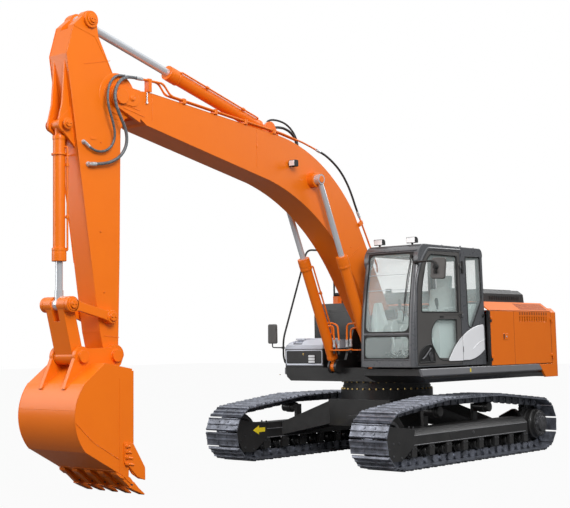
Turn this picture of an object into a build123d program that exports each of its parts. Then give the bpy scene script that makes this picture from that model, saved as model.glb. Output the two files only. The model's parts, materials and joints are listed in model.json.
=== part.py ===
from build123d import *
import math
import os

# Crawler excavator, 24-tonne class, long undercarriage.  Millimetres.
# Modelled about the swing axis: X forward, Y to the machine's left, Z up from the ground.
# export() moves everything once, so that the origin is under the middle of the whole machine.

# ---------------------------------------------------------------- driving sizes
GAP = 0.3                      # running gap between pieces that nearly touch
PIPE_SIDES = 6                 # pipes, hoses and rails are drawn with flats

# undercarriage
TUMBLER_DISTANCE = 3840.0
TRACK_GAUGE = 2590.0
SHOE_WIDTH = 600.0
SHOE_COUNT = 51
PITCH_R = 320.0                # track pin circle round idler and sprocket
GROUSER_V = 80.0               # grouser tip, outward from the pin line
GROUSER_MID_V = 78.0
SHOE_V = 54.0                  # outer face of the shoe plate
SHOE_UNDER_V = 40.0
RAIL_V = 52.0                  # link rail, inward from the pin line
RAIL_IN = 60.0                 # rails, measured from the track's centre plane
RAIL_OUT = 110.0
TRACK_TOP = 920.0
CARRIER_X = (730.0, -590.0)
CARRIER_R = 70.0
ROLLER_COUNT = 8
ROLLER_SPAN = 3000.0
ROLLER_R = 74.0
ROLLER_HALF = 125.0
BEAM_HALF = 190.0              # track frame beam
BEAM_LOW = 300.0
BEAM_HIGH = 520.0
BEAM_REAR = -1560.0
BEAM_FRONT = 1600.0
GUARD_T = 14.0                 # idler cover plates
SPROCKET_TEETH = 21
IDLER_SIDES = 20               # wheels are drawn with this many flats
ROLLER_SIDES = 10
STUB_SIDES = 6
FINAL_DRIVE_R = 232.0
FINAL_DRIVE_OUT = 262.0
GROUND_CLEARANCE = 460.0
HUB_R = 690.0                  # centre of the lower frame
HUB_TOP = 985.0
HUB_BOX = 720.0                # half length of the lower frame's box
TOW_PLATE = (150.0, 170.0, 50.0)   # towing plates, front and rear: out, across, thick
TOW_PLATE_Z = 600.0
TOW_EYE_R = 32.0
BEARING_R = 660.0
BEARING_SPLIT = 1042.0

# house
HOUSE_LOW = 1107.0
DECK_TOP = 1306.0
SILL_LOW = 1200.0
HOUSE_HALF = 1425.0
DECK_FRONT = 1160.0
BAY_FRONT = 725.0              # floor's front edge under the boom
TOOLBOX_FRONT = 705.0
FLOOR_HALF = HOUSE_HALF - 36.0
ENGINE_LOW = DECK_TOP + 70.0
CYL_EAR_R = 98.0               # ears that hold the cylinders' base eyes
REAR_R = 3140.0
CW_DEPTH = 565.0               # counterweight, front to back on the centre line
CW_FRONT = CW_DEPTH - REAR_R
CW_LOW = 1095.0
CW_TOP = 2180.0
LIFT_BOSS = (CW_FRONT - 185.0, 650.0)   # lifting bosses on the counterweight's top
LIFT_BOSS_R = 60.0
LIFT_BOSS_H = 40.0
LIFT_HOLE_R = 24.0
WING_TOP = CW_FRONT + 439.0    # front edge of the counterweight's lower corners
WING_LOW = CW_FRONT + 330.0
PANEL_TOP = 2125.0             # top of the side panels, where the cover's bevel starts
COVER_TOP = 2262.0
COVER_IN = 1250.0              # inner edge of the bevel
COVER_T = 26.0
DOOR_T = 42.0
PANEL_SPLIT = -1386.0
PANEL_GAP = 6.0
HOOD_FRONT = -1250.0
HOOD_REAR = CW_FRONT + 85.0
HOOD_HALF = 1000.0
HOOD_TOP = 2470.0
HOOD_T = 24.0
POST_HALF = 25.0
COVER_POST_Y = COVER_IN - 100.0
COVER_POSTS = ((PANEL_SPLIT, 1), (-720.0, 1), (-1310.0, -1), (CW_FRONT + 95, 1), (CW_FRONT + 95, -1))
TANK_FRONT = 0.0
TANK_REAR = -640.0
TANK_TOP = 2290.0
TANK_IN = -460.0
TOOLBOX_REAR = 110.0
TOOLBOX_OUT = -1400.0
TOOLBOX_IN = -656.0
TOOLBOX_SPLIT = 1590.0         # lid's lower edge
LID_TOP = 1730.0
WALL = 30.0                    # toolbox walls

# cab
CAB_LEFT = HOUSE_HALF - 65.0
CAB_RIGHT = 440.0
CAB_WALL = 55.0
CAB_FLOOR = 1330.0
CAB_ROOF = 3040.0
CAB_REAR = -640.0
CAB_FRONT = 1270.0
CAB_DOOR_T = 42.0
DOOR_GAP = 6.0
GLASS_T = 6.0

# boom, arm, bucket: pivots in the standing pose (X, Z)
FOOT = (255.0, 1910.0)
ARM_PIN = (5600.0, 4632.0)
TIP_PIN = (5682.0, 1572.0)
LINK_PIN = (6180.0, 1570.0)
ROCKER_PIN = (5750.0, 2015.0)
TOP_PIN = (6338.0, 2155.0)
BUCKET_CYL_PIN = (6360.0, 4215.0)
ARM_CYL_ROD_PIN = (6040.0, 5492.0)
ARM_CYL_BASE_PIN = (2750.0, 4600.0)
BOOM_CYL_BASE_PIN = (810.0, 1325.0)
BOOM_CYL_ROD_PIN = (1990.0, 3950.0)

BOOM_HALF = 210.0
BOOM_TOP_LINE = ((2650.0, 4500.0), (5180.0, 4747.0))
BOOM_BACK = ((1730.0, 4182.0), (1000.0, 3540.0))   # round back, through the first point to the second
BOOM_FOOT_TOP = (FOOT[0] - 160, FOOT[1] + 102)
PIPE_Y = (176.0, 214.0)        # the bucket cylinder's two pipes, along the boom's top left
PIPE_R = 13.0
PIPE_RISE = 45.0               # pipe centres above the boom's top plate
CLAMP_X = (2800.0, 3380.0, 3960.0, 4540.0)
HOSE_R = (19.0, 15.0)          # the bucket cylinder's two free hoses at the boom's tip
FOOT_PIPE = (60.0, 900.0)      # the foot pipe's ends, measured down the boom's straight back
PIPE_OFF = 80.0
BOOM_FOOT_R = 190.0
BOOM_TIP_R = 145.0
FORK_IN = 166.0                # inner faces of the boom tip's two ears
ARM_HALF = 155.0
ARM_HUB_R = 220.0
SLOT_R = 350.0                 # depth of the boom tip's slot from the arm pin
ARM_TIP_R = 128.0
EAR_IN = 170.0                 # bucket ears
EAR_OUT = 222.0
ROCKER_IN = 195.0              # rocker links
ROCKER_OUT = 240.0
BUCKET_HALF = 490.0
SIDE_PLATE_T = 25.0
SHELL_T = 22.0
TOOTH_COUNT = 5
BRACKET_IN = 262.0             # boom foot plates on the house
BOOM_CYL_Y = 350.0
BOOM_CYL_EYE = 42.0            # half widths of the cylinder eyes
ARM_CYL_EYE = 55.0
BUCKET_CYL_EYE = 52.0
BOOM_BARREL_R = 76.0
ARM_BARREL_R = 84.0
BUCKET_BARREL_R = 70.0

# hinge lines (X, Y) of the doors, (X, Z) of the hood and the lid
KNUCKLE_R = 10.0
KNUCKLE_OUT = 12.0             # hinge line outside the skin
KNUCKLE_LENGTH = 40.0
PILLAR = (-686.0, -646.0)      # fixed pillar in front of the left side doors
CAB_HINGE = (14.0, CAB_LEFT + KNUCKLE_OUT)
SIDE_HINGE = (PILLAR[0] - 3, HOUSE_HALF + KNUCKLE_OUT)
CW_HINGE = (CW_FRONT + 1, HOUSE_HALF + KNUCKLE_OUT)
HOOD_HINGE = (HOOD_FRONT + KNUCKLE_OUT, COVER_TOP + 14)
LID_HINGE = (TOOLBOX_REAR - 10, LID_TOP - 24)


# ---------------------------------------------------------------- small helpers
def box(x0, x1, y0, y1, z0, z1):
    return Pos((x0 + x1) / 2, (y0 + y1) / 2, (z0 + z1) / 2) * Box(abs(x1 - x0), abs(y1 - y0), abs(z1 - z0))


def outline(*steps, at=0.0):
    """Closed face in the XZ plane at Y = at.  A step (x, z) is a straight line to that point;
    a step ((mx, mz), (x, z)) is an arc through the first point to the second."""
    def point(p):
        return Vector(p[0], at, p[1])
    edges = []
    here = steps[0]
    for step in steps[1:] + (steps[0],):
        if isinstance(step[0], tuple):
            edges.append(ThreePointArc(point(here), point(step[0]), point(step[1])))
            here = step[1]
        else:
            edges.append(Line(point(here), point(step)))
            here = step
    return Face(Wire(edges))


def slab(face, y0, y1):
    """Extrude an XZ outline from Y = y0 to Y = y1."""
    face = face.moved(Location((0, y0 - face.center().Y, 0)))
    return Solid.extrude(face, Vector(0, y1 - y0, 0))


def drum(pin, radius, y0, y1):
    """Cylinder along Y about a point (x, z)."""
    return Pos(pin[0], (y0 + y1) / 2, pin[1]) * Rot(90, 0, 0) * Cylinder(radius, abs(y1 - y0))


def prism(corners, y0, y1):
    """Straight prism along Y on corner points (x, z)."""
    low, high = sorted((y0, y1))
    face = Face(Wire.make_polygon([Vector(x, low, z) for x, z in corners], close=True))
    return Solid.extrude(face, Vector(0, high - low, 0))


def wheel_corners(centre, radii, count):
    """Corners round a centre (x, z), taking the radii in turn, one after another."""
    steps = count * len(radii)
    return [(centre[0] + radii[i % len(radii)] * math.sin(math.tau * i / steps),
             centre[1] + radii[i % len(radii)] * math.cos(math.tau * i / steps)) for i in range(steps)]


def post(x, y, radius, z0, z1):
    return Pos(x, y, (z0 + z1) / 2) * Cylinder(radius, z1 - z0)


def prism_up(x, y, radius, z0, z1):
    """Upright octagonal block."""
    return Pos(x, y, z0) * extrude(RegularPolygon(radius, 8), amount=z1 - z0)


def rod(start, end, radius):
    """Cylinder between two points (x, y, z)."""
    a = Vector(*start)
    b = Vector(*end)
    place = Plane(origin=a, z_dir=b - a)
    return place * Cylinder(radius, (b - a).length, align=(Align.CENTER, Align.CENTER, Align.MIN))


def tube(points, radius, bend):
    """Pipe along straight runs with rounded bends (one radius, or one for each corner)."""
    path = FilletPolyline(*[Vector(*p) for p in points], radius=bend)
    start = Plane(origin=path @ 0, z_dir=path % 0)
    return sweep(start * RegularPolygon(radius, PIPE_SIDES), path=path)


def free_bends(points):
    """Largest bend radius that the two runs at each corner of a free hose allow."""
    radii = []
    for a, b, c in zip(points, points[1:], points[2:]):
        before = Vector(*b) - Vector(*a)
        after = Vector(*c) - Vector(*b)
        turn = math.radians(before.get_angle(after))
        radii.append(0.45 * min(before.length, after.length) / math.tan(turn / 2))
    return radii


def hose(points, radius):
    bends = free_bends(points)
    path = FilletPolyline(*[Vector(*p) for p in points], radius=bends)
    start = Plane(origin=path @ 0, z_dir=path % 0)
    print("hose", round(path.length), "mm long, tightest bends", [round(r) for r in sorted(bends)[:3]])
    return sweep(start * RegularPolygon(radius, PIPE_SIDES), path=path)


def along(start, end, share):
    return (start[0] + (end[0] - start[0]) * share, start[1] + (end[1] - start[1]) * share)


def toward(start, end, distance):
    length = math.dist(start, end)
    return along(start, end, distance / length)


def fuse(first, *others):
    result = first
    for other in others:
        result = result + other
    return result


def hinge_half(axis, reach, side, z):
    """Half of a door hinge: knuckle on a line (x, y) with a strap that reaches along X to its foot
    on the skin."""
    skin = axis[1] - KNUCKLE_OUT
    knuckle = post(axis[0], axis[1], KNUCKLE_R, z, z + KNUCKLE_LENGTH)
    end = axis[0] + reach
    strap = box(axis[0], end, skin + 2, skin + KNUCKLE_OUT - 2, z, z + KNUCKLE_LENGTH)
    foot = box(axis[0] + reach * 0.35, end, skin - 2, skin + 3, z, z + KNUCKLE_LENGTH)
    half = fuse(knuckle, strap, foot)
    return half if side > 0 else mirror(half, about=Plane.XZ)


def hinge_leaf(axis, reach, side, heights):
    return [hinge_half(axis, reach, side, z) for z in heights]


def hinge_frame(axis, reach, side, heights):
    return [hinge_half(axis, reach, side, z - KNUCKLE_LENGTH - GAP) for z in heights]


CAB_HINGE_Z = (1560.0, 2060.0, 2760.0)
SIDE_HINGE_Z = (1420.0, 1990.0)
HOOD_HINGE_Y = (-700.0, 0.0, 700.0)
LID_HINGE_Y = (TOOLBOX_OUT + 150, TOOLBOX_IN - 150)

NODES = {}


def node(name, *pieces):
    flat = []
    for piece in pieces:
        flat.extend(piece if isinstance(piece, list) else [piece])
    NODES[name] = flat


# ---------------------------------------------------------------- undercarriage
AXLE_Z = GROUSER_V + PITCH_R
IDLER = (TUMBLER_DISTANCE / 2, AXLE_Z)
SPROCKET = (-TUMBLER_DISTANCE / 2, AXLE_Z)
ROLLER_Z = GROUSER_V + RAIL_V + ROLLER_R + GAP


def track_path():
    """Pin line of one track: flat below, over the carrier rollers above."""
    half = TUMBLER_DISTANCE / 2
    low = GROUSER_V
    axle = low + PITCH_R
    high = TRACK_TOP - GROUSER_V
    front, rear = CARRIER_X
    def lift_off(run):
        """Angle from upright at which a sloping run leaves the pin circle."""
        rise = high - axle
        return math.acos(PITCH_R / math.hypot(run, rise)) + math.atan2(rise, run) - math.pi / 2
    front_turn = lift_off(half - front)
    rear_turn = lift_off(half + rear)
    front_top = (half + PITCH_R * math.sin(front_turn), axle + PITCH_R * math.cos(front_turn))
    rear_top = (-half - PITCH_R * math.sin(rear_turn), axle + PITCH_R * math.cos(rear_turn))
    return Wire([
        Line((-half, 0, low), (half, 0, low)),
        ThreePointArc((half, 0, low), (half + PITCH_R, 0, axle), (front_top[0], 0, front_top[1])),
        Line((front_top[0], 0, front_top[1]), (front, 0, high)),
        Line((front, 0, high), (rear, 0, high)),
        Line((rear, 0, high), (rear_top[0], 0, rear_top[1])),
        ThreePointArc((rear_top[0], 0, rear_top[1]), (-half - PITCH_R, 0, axle), (-half, 0, low)),
    ])


def track_pins():
    """Link pins, spaced evenly along the pin line."""
    line = track_path()
    return [line.position_at(i / SHOE_COUNT) for i in range(SHOE_COUNT)]


PINS = track_pins()
PITCH = max((b - a).length for a, b in zip(PINS, PINS[1:] + PINS[:1]))
APOTHEM = math.sqrt(PITCH_R ** 2 - (PITCH / 2) ** 2)   # middle of a link, from the axle it wraps


def outward(a, b):
    run = (b - a).normalized()
    return Vector(run.Z, 0, -run.X)


def link_line(distance):
    """Closed polygon at a distance outside the pins (negative: inside), with a corner at a pin
    only where the track bends."""
    points = []
    for i, pin in enumerate(PINS):
        before = outward(PINS[i - 1], pin)
        after = outward(pin, PINS[(i + 1) % SHOE_COUNT])
        bisector = (before + after).normalized()
        if before.get_angle(after) > 0.05:
            points.append(pin + bisector * (distance / bisector.dot(after)))
    return points


def track(side):
    # along the link from its middle, and out from the pin line: three ribs on a plate
    profile = ((-92, SHOE_V), (-84, GROUSER_V), (-74, SHOE_V), (0, GROUSER_MID_V),
               (74, SHOE_V), (84, GROUSER_V), (92, SHOE_V))
    shoes = []
    for here, ahead in zip(PINS, PINS[1:] + PINS[:1]):
        middle = (here + ahead) / 2
        run = (ahead - here).normalized()
        out = outward(here, ahead)
        shoes += [middle + run * u + out * v for u, v in profile]

    def ring(big, small, y0, y1):
        face = Face(Wire.make_polygon([Vector(p.X, y0, p.Z) for p in big], close=True))
        hole = Face(Wire.make_polygon([Vector(p.X, y0, p.Z) for p in small], close=True))
        return Solid.extrude(face, Vector(0, y1 - y0, 0)) - Solid.extrude(hole, Vector(0, y1 - y0, 0))

    middle_y = side * TRACK_GAUGE / 2
    pieces = [ring(shoes, link_line(SHOE_UNDER_V), middle_y - SHOE_WIDTH / 2, middle_y + SHOE_WIDTH / 2)]
    for rail in (-1, 1):
        ends = sorted((middle_y + rail * RAIL_IN, middle_y + rail * RAIL_OUT))
        pieces.append(ring(link_line(SHOE_UNDER_V), link_line(-RAIL_V), ends[0], ends[1]))
    return fuse(*pieces)


def carrier_centre(x):
    """A carrier roller seats against the rails above it."""
    heights = []
    for a, b in zip(PINS, PINS[1:] + PINS[:1]):
        middle = (a + b) / 2
        if middle.Z > AXLE_Z and abs(middle.X - x) < 1.6 * PITCH:
            out = outward(a, b)
            reach = RAIL_V + CARRIER_R + GAP
            heights.append(middle.Z - (out.X * (x - middle.X) + reach) / out.Z)
    return (x, min(heights))


def turned(sections, pin, middle_y, sides):
    """Stepped wheel about a line along Y, drawn with flats.  Sections are (y_from, y_to, radius)."""
    return fuse(*[prism(wheel_corners(pin, (radius,), sides), middle_y + a, middle_y + b)
                  for a, b, radius in sections])


def idler(side):
    middle_y = side * TRACK_GAUGE / 2
    tread = APOTHEM - RAIL_V - GAP
    wheel = turned(((-112, 112, tread), (-50, 50, tread + 30), (-150, 150, 90)), IDLER, middle_y, IDLER_SIDES)
    for face in (-1, 1):
        dish = turned(((face * 70, face * 113, tread - 50),), IDLER, middle_y, IDLER_SIDES)
        wheel = wheel - (dish - turned(((face * 60, face * 120, 110),), IDLER, middle_y, IDLER_SIDES))
    return wheel


def sprocket(side):
    middle_y = side * TRACK_GAUGE / 2
    root = PITCH_R - 31
    tip = PITCH_R + 12
    wheel = prism(wheel_corners(SPROCKET, (root, root + 4, tip, root + 4), SPROCKET_TEETH),
                  middle_y - 30, middle_y + 30)
    drive = turned((
        (side * -60, side * 150, FINAL_DRIVE_R),
        (side * 150, side * 225, FINAL_DRIVE_R - 32),
        (side * 225, side * FINAL_DRIVE_OUT, FINAL_DRIVE_R - 120),
        (side * -230, side * -60, 190),
    ), SPROCKET, middle_y, IDLER_SIDES)
    return fuse(wheel, drive)


def roller_places():
    step = ROLLER_SPAN / (ROLLER_COUNT - 1)
    return [-ROLLER_SPAN / 2 + step * i for i in range(ROLLER_COUNT)]


def lower_roller(side, x):
    middle_y = side * TRACK_GAUGE / 2
    roller = turned(((-ROLLER_HALF, ROLLER_HALF, ROLLER_R), ), (x, ROLLER_Z), middle_y, ROLLER_SIDES)
    return roller + turned(((-150, 150, 38), ), (x, ROLLER_Z), middle_y, STUB_SIDES)


def carrier_roller(side, x):
    middle_y = side * TRACK_GAUGE / 2
    return turned(((-ROLLER_HALF, ROLLER_HALF, CARRIER_R), (-50, 50, CARRIER_R + 12)),
                  carrier_centre(x), middle_y, ROLLER_SIDES)


def track_frame(side):
    middle_y = side * TRACK_GAUGE / 2
    bevel = 80
    section = Face(Wire.make_polygon([
        Vector(BEAM_REAR, middle_y + y, z) for y, z in (
            (-BEAM_HALF, BEAM_LOW), (BEAM_HALF, BEAM_LOW), (BEAM_HALF, BEAM_HIGH - bevel),
            (BEAM_HALF - bevel, BEAM_HIGH), (bevel - BEAM_HALF, BEAM_HIGH),
            (-BEAM_HALF, BEAM_HIGH - bevel))], close=True))
    beam = Solid.extrude(section, Vector(BEAM_FRONT - BEAM_REAR, 0, 0))
    pieces = [beam]
    # yoke cheeks and cover plates beside the idler
    for face in (-1, 1):
        plate = outline((BEAM_FRONT - 120, BEAM_HIGH), (IDLER[0] + 190, BEAM_HIGH + 68),
                        (IDLER[0] + 245, AXLE_Z - 40), (IDLER[0] + 110, 134), (IDLER[0] - 130, 124),
                        (BEAM_FRONT - 100, BEAM_LOW))
        near = face * (BEAM_HALF - GUARD_T)
        far = face * BEAM_HALF
        pieces.append(slab(plate, middle_y + min(near, far), middle_y + max(near, far)))
        cheek = outline((BEAM_FRONT - 40, AXLE_Z + 55), (IDLER[0] + 60, AXLE_Z + 55),
                        (IDLER[0] + 60, AXLE_Z - 55), (BEAM_FRONT - 40, AXLE_Z - 55))
        ends = sorted((face * (150 + GAP), face * (BEAM_HALF - GUARD_T)))
        pieces.append(slab(cheek, middle_y + ends[0], middle_y + ends[1]))
        # motor bracket round the final drive
        bracket = outline((BEAM_REAR + 60, BEAM_HIGH), (BEAM_REAR + 60, BEAM_LOW),
                          (SPROCKET[0] + 60, AXLE_Z - 200), ((SPROCKET[0] - 215, AXLE_Z),
                          (SPROCKET[0] + 60, AXLE_Z + 200)))
        if face == -side:
            ends = sorted((face * (230 + GAP), face * 262))
            flange = slab(bracket, middle_y + ends[0], middle_y + ends[1])
            pieces.append(flange)
            web = box(BEAM_REAR - 20, BEAM_REAR + 160, middle_y + min(ends[0], face * 100),
                      middle_y + max(ends[1], face * 100), BEAM_LOW, BEAM_HIGH - bevel)
            pieces.append(web)
    # roller shoulders under the beam
    for x in roller_places():
        for face in (-1, 1):
            ends = sorted((face * (150 + GAP), face * BEAM_HALF))
            pieces.append(box(x - 60, x + 60, middle_y + ends[0], middle_y + ends[1],
                              ROLLER_Z - 50, BEAM_LOW + 1))
    # stands for the carrier rollers
    for x in CARRIER_X:
        top = carrier_centre(x)[1]
        ends = sorted((side * -ROLLER_HALF - side * GAP, side * -ROLLER_HALF - side * 50))
        pieces.append(box(x - 55, x + 55, middle_y + ends[0], middle_y + ends[1], BEAM_HIGH - 90, top + 45))
    return fuse(*pieces)


def lower_frame():
    hub = post(0, 0, HUB_R, HUB_TOP - 150, HUB_TOP)
    body = box(-HUB_BOX, HUB_BOX, -560, 560, GROUND_CLEARANCE, HUB_TOP - 140)
    pieces = [hub, body]
    frame_y = TRACK_GAUGE / 2 - BEAM_HALF
    for front in (-1, 1):
        for side in (-1, 1):
            inner = Plane(origin=(front * 420, side * 540, 650), z_dir=(0, side, 0), x_dir=(1, 0, 0))
            outer = Plane(origin=(front * 900, side * frame_y, 420), z_dir=(0, side, 0), x_dir=(1, 0, 0))
            pieces.append(loft([inner * Rectangle(600, 330), outer * Rectangle(520, 180)]))
    return fuse(*pieces)


def tow_plates():
    """Flat plates welded to the ends of the lower frame's box, each with a hole for a shackle pin."""
    reach, width, thick = TOW_PLATE
    plates = []
    for end in (-1, 1):
        x = end * (HUB_BOX + reach / 2)
        plate = Pos(x, 0, TOW_PLATE_Z) * Box(reach, width, thick)
        plates.append(plate - post(x, 0, TOW_EYE_R, TOW_PLATE_Z - thick, TOW_PLATE_Z + thick))
    return plates


# ---------------------------------------------------------------- house
def house_frame():
    # floor: full width, its underside narrower than its top
    section = Face(Wire.make_polygon([
        Vector(CW_FRONT + GAP, y, z) for y, z in (
            (-FLOOR_HALF + 95, HOUSE_LOW), (FLOOR_HALF - 95, HOUSE_LOW), (FLOOR_HALF - 20, 1165),
            (FLOOR_HALF, 1225), (FLOOR_HALF, DECK_TOP), (-FLOOR_HALF, DECK_TOP), (-FLOOR_HALF, 1225),
            (-FLOOR_HALF + 20, 1165))],
        close=True))
    floor = Solid.extrude(section, Vector(DECK_FRONT - CW_FRONT - GAP, 0, 0))
    nose = outline((840, HOUSE_LOW - 10), (DECK_FRONT + 10, HOUSE_LOW - 10), (DECK_FRONT + 10, 1214))
    floor = floor - slab(nose, -HOUSE_HALF, HOUSE_HALF)
    floor = floor - box(TOOLBOX_FRONT, DECK_FRONT + 10, -HOUSE_HALF, -440, HOUSE_LOW - 10, DECK_TOP + 10)
    floor = floor - box(BAY_FRONT, DECK_FRONT + 10, -440, CAB_RIGHT, HOUSE_LOW - 10, DECK_TOP + 10)
    pieces = [floor]
    # bearing's upper ring
    pieces.append(post(0, 0, BEARING_R - 12, BEARING_SPLIT + GAP, HOUSE_LOW + 1))
    # centre spine under the engine
    pieces.append(box(CW_FRONT + 285, -700, -45, 45, DECK_TOP - 5, ENGINE_LOW))
    # cab mounts
    for x in (CAB_REAR + 150, CAB_FRONT - 260):
        for y in (CAB_RIGHT + 140, CAB_LEFT - 140):
            pieces.append(post(x, y, 62, DECK_TOP - 5, CAB_FLOOR - GAP))
    return fuse(*pieces)


def boom_brackets():
    """Foot plates left and right of the boom, and the outer ears of the boom cylinders' base pins,
    all welded to the floor's top and its front edge."""
    pin_x, pin_z = BOOM_CYL_BASE_PIN
    nose = ((BAY_FRONT, DECK_TOP), (BAY_FRONT, DECK_TOP - 60), (pin_x, pin_z - CYL_EAR_R),
            ((pin_x + CYL_EAR_R, pin_z), (pin_x, pin_z + CYL_EAR_R)))
    plate = outline((-900, DECK_TOP), *nose, (640, 1425), (FOOT[0] + 165, FOOT[1] + 20),
                    ((FOOT[0], FOOT[1] + 150), (FOOT[0] - 150, FOOT[1])), (-700, DECK_TOP + 114))
    ear = outline((BAY_FRONT - 90, DECK_TOP), *nose, (BAY_FRONT - 90, DECK_TOP + 40))
    eye_in = BOOM_CYL_Y - BOOM_CYL_EYE - GAP
    eye_out = BOOM_CYL_Y + BOOM_CYL_EYE + GAP
    pieces = []
    for side in (-1, 1):
        boss = drum(FOOT, 85, *sorted((side * (BRACKET_IN + 10), side * (eye_in + 36))))
        pieces.append(fuse(slab(plate, *sorted((side * BRACKET_IN, side * eye_in))), boss))
        pieces.append(slab(ear, *sorted((side * eye_out, side * (eye_out + 28)))))
    return pieces


def cover_posts():
    """Posts that carry the top cover, and the two posts that the left side doors close on."""
    pieces = []
    for x, side in COVER_POSTS:
        y = side * COVER_POST_Y
        pieces.append(box(x - POST_HALF, x + POST_HALF, y - POST_HALF, y + POST_HALF,
                          DECK_TOP, COVER_TOP - COVER_T - GAP))
    pieces.append(box(PANEL_SPLIT - 40, PANEL_SPLIT + 40, HOUSE_HALF - DOOR_T - 46, HOUSE_HALF - DOOR_T - 6,
                      DECK_TOP, PANEL_TOP - PANEL_GAP))
    pillar = box(PILLAR[0], PILLAR[1], HOUSE_HALF - DOOR_T, HOUSE_HALF, DECK_TOP + GAP, PANEL_TOP - GAP)
    foot = box(PILLAR[0], PILLAR[1], FLOOR_HALF - 60, FLOOR_HALF, DECK_TOP, DECK_TOP + 60)
    pieces.append(fuse(pillar, foot, *hinge_frame(SIDE_HINGE, 38, 1, SIDE_HINGE_Z)))
    return pieces


def sill(side):
    """Band along the floor's edge, its rear end against the counterweight's lower corner."""
    y = FLOOR_HALF + GAP
    rear = WING_LOW - 55
    face = Face(Wire.make_polygon([Vector(rear, a, b) for a, b in (
        (y, SILL_LOW), (HOUSE_HALF - 14, SILL_LOW), (HOUSE_HALF, SILL_LOW + 15), (HOUSE_HALF, DECK_TOP - 8),
        (HOUSE_HALF - 8, DECK_TOP), (y, DECK_TOP))], close=True))
    front = DECK_FRONT + 55 if side > 0 else TOOLBOX_FRONT - 15
    band = Solid.extrude(face, Vector(front - rear, 0, 0))
    rear_cut = outline((rear - 10, SILL_LOW - 10), (rear - 10, DECK_TOP + 10), (WING_TOP + 22, DECK_TOP + 10),
                       (WING_LOW + 6, SILL_LOW - 10))
    band = band - slab(rear_cut, y - 10, HOUSE_HALF + 10)
    if side > 0:
        nose = outline((front + 10, DECK_TOP + 10), (front - 5, DECK_TOP + 10), (front - 65, SILL_LOW - 10),
                       (front + 10, SILL_LOW - 10))
        return band - slab(nose, y - 10, HOUSE_HALF + 10)
    return mirror(band, about=Plane.XZ)


def counterweight():
    side_depth = CW_FRONT + math.sqrt(REAR_R ** 2 - HOUSE_HALF ** 2)
    corner = min(240.0, 0.8 * side_depth)
    plan = Face(Wire.make_polygon([
        Vector(CW_FRONT, -HOUSE_HALF, CW_LOW), Vector(CW_FRONT, HOUSE_HALF, CW_LOW),
        Vector(-REAR_R - 100, HOUSE_HALF, CW_LOW), Vector(-REAR_R - 100, -HOUSE_HALF, CW_LOW)], close=True))
    block = Solid.extrude(plan, Vector(0, 0, CW_TOP - CW_LOW))
    block = block & post(0, 0, REAR_R, CW_LOW, CW_TOP)
    upright = [e for e in block.edges().filter_by(Axis.Z) if e.center().X < CW_FRONT - 5]
    block = fillet(upright, corner)
    rim = [e for e in block.faces().sort_by(Axis.Z)[-1].edges() if e.center().X < CW_FRONT - 10]
    block = chamfer(rim, 70)
    # lower corners that reach forward under the doors
    for side in (-1, 1):
        wing = outline((CW_FRONT - 5, CW_LOW), (CW_FRONT - 5, DECK_TOP - 6), (WING_TOP, DECK_TOP - 6),
                       (WING_LOW, SILL_LOW - 10), (WING_LOW - 85, CW_LOW))
        ends = sorted((side * (FLOOR_HALF + 2 * GAP), side * HOUSE_HALF))
        block = fuse(block, slab(wing, ends[0], ends[1]), *hinge_frame(CW_HINGE, -40, side, SIDE_HINGE_Z))
    return block


def lifting_bosses():
    bosses = []
    for side in (-1, 1):
        x, y = LIFT_BOSS[0], side * LIFT_BOSS[1]
        boss = prism_up(x, y, LIFT_BOSS_R, CW_TOP, CW_TOP + LIFT_BOSS_H)
        bosses.append(boss - post(x, y, LIFT_HOLE_R, CW_TOP - 1, CW_TOP + LIFT_BOSS_H + 1))
    return bosses


def cover():
    """Fixed top cover behind the cab, with bevelled sides and the hood's opening."""
    def section(inset):
        return Face(Wire.make_polygon([
            Vector(CW_FRONT + 4, y, z) for y, z in (
                (-HOUSE_HALF + inset, PANEL_TOP), (HOUSE_HALF - inset, PANEL_TOP),
                (HOUSE_HALF - inset, PANEL_TOP + 8), (COVER_IN - inset / 3, COVER_TOP - inset),
                (-COVER_IN + inset / 3, COVER_TOP - inset), (-HOUSE_HALF + inset, PANEL_TOP + 8))],
            close=True))
    length = CAB_REAR - 6 - (CW_FRONT + 4)
    outer = Solid.extrude(section(0), Vector(length, 0, 0))
    inner = Solid.extrude(section(COVER_T), Vector(length, 0, 0))
    shell = outer - inner
    shell = shell - box(HOOD_REAR + 40, HOOD_FRONT - 40, -HOOD_HALF + 40, HOOD_HALF - 40, 2000, COVER_TOP + 10)
    for y in HOOD_HINGE_Y:
        y0 = y + KNUCKLE_LENGTH + GAP
        y1 = y0 + KNUCKLE_LENGTH
        foot = box(HOOD_HINGE[0], HOOD_HINGE[0] + 50, y0, y1, COVER_TOP - 2, COVER_TOP + 12)
        shell = fuse(shell, drum(HOOD_HINGE, KNUCKLE_R, y0, y1), foot)
    return shell


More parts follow.
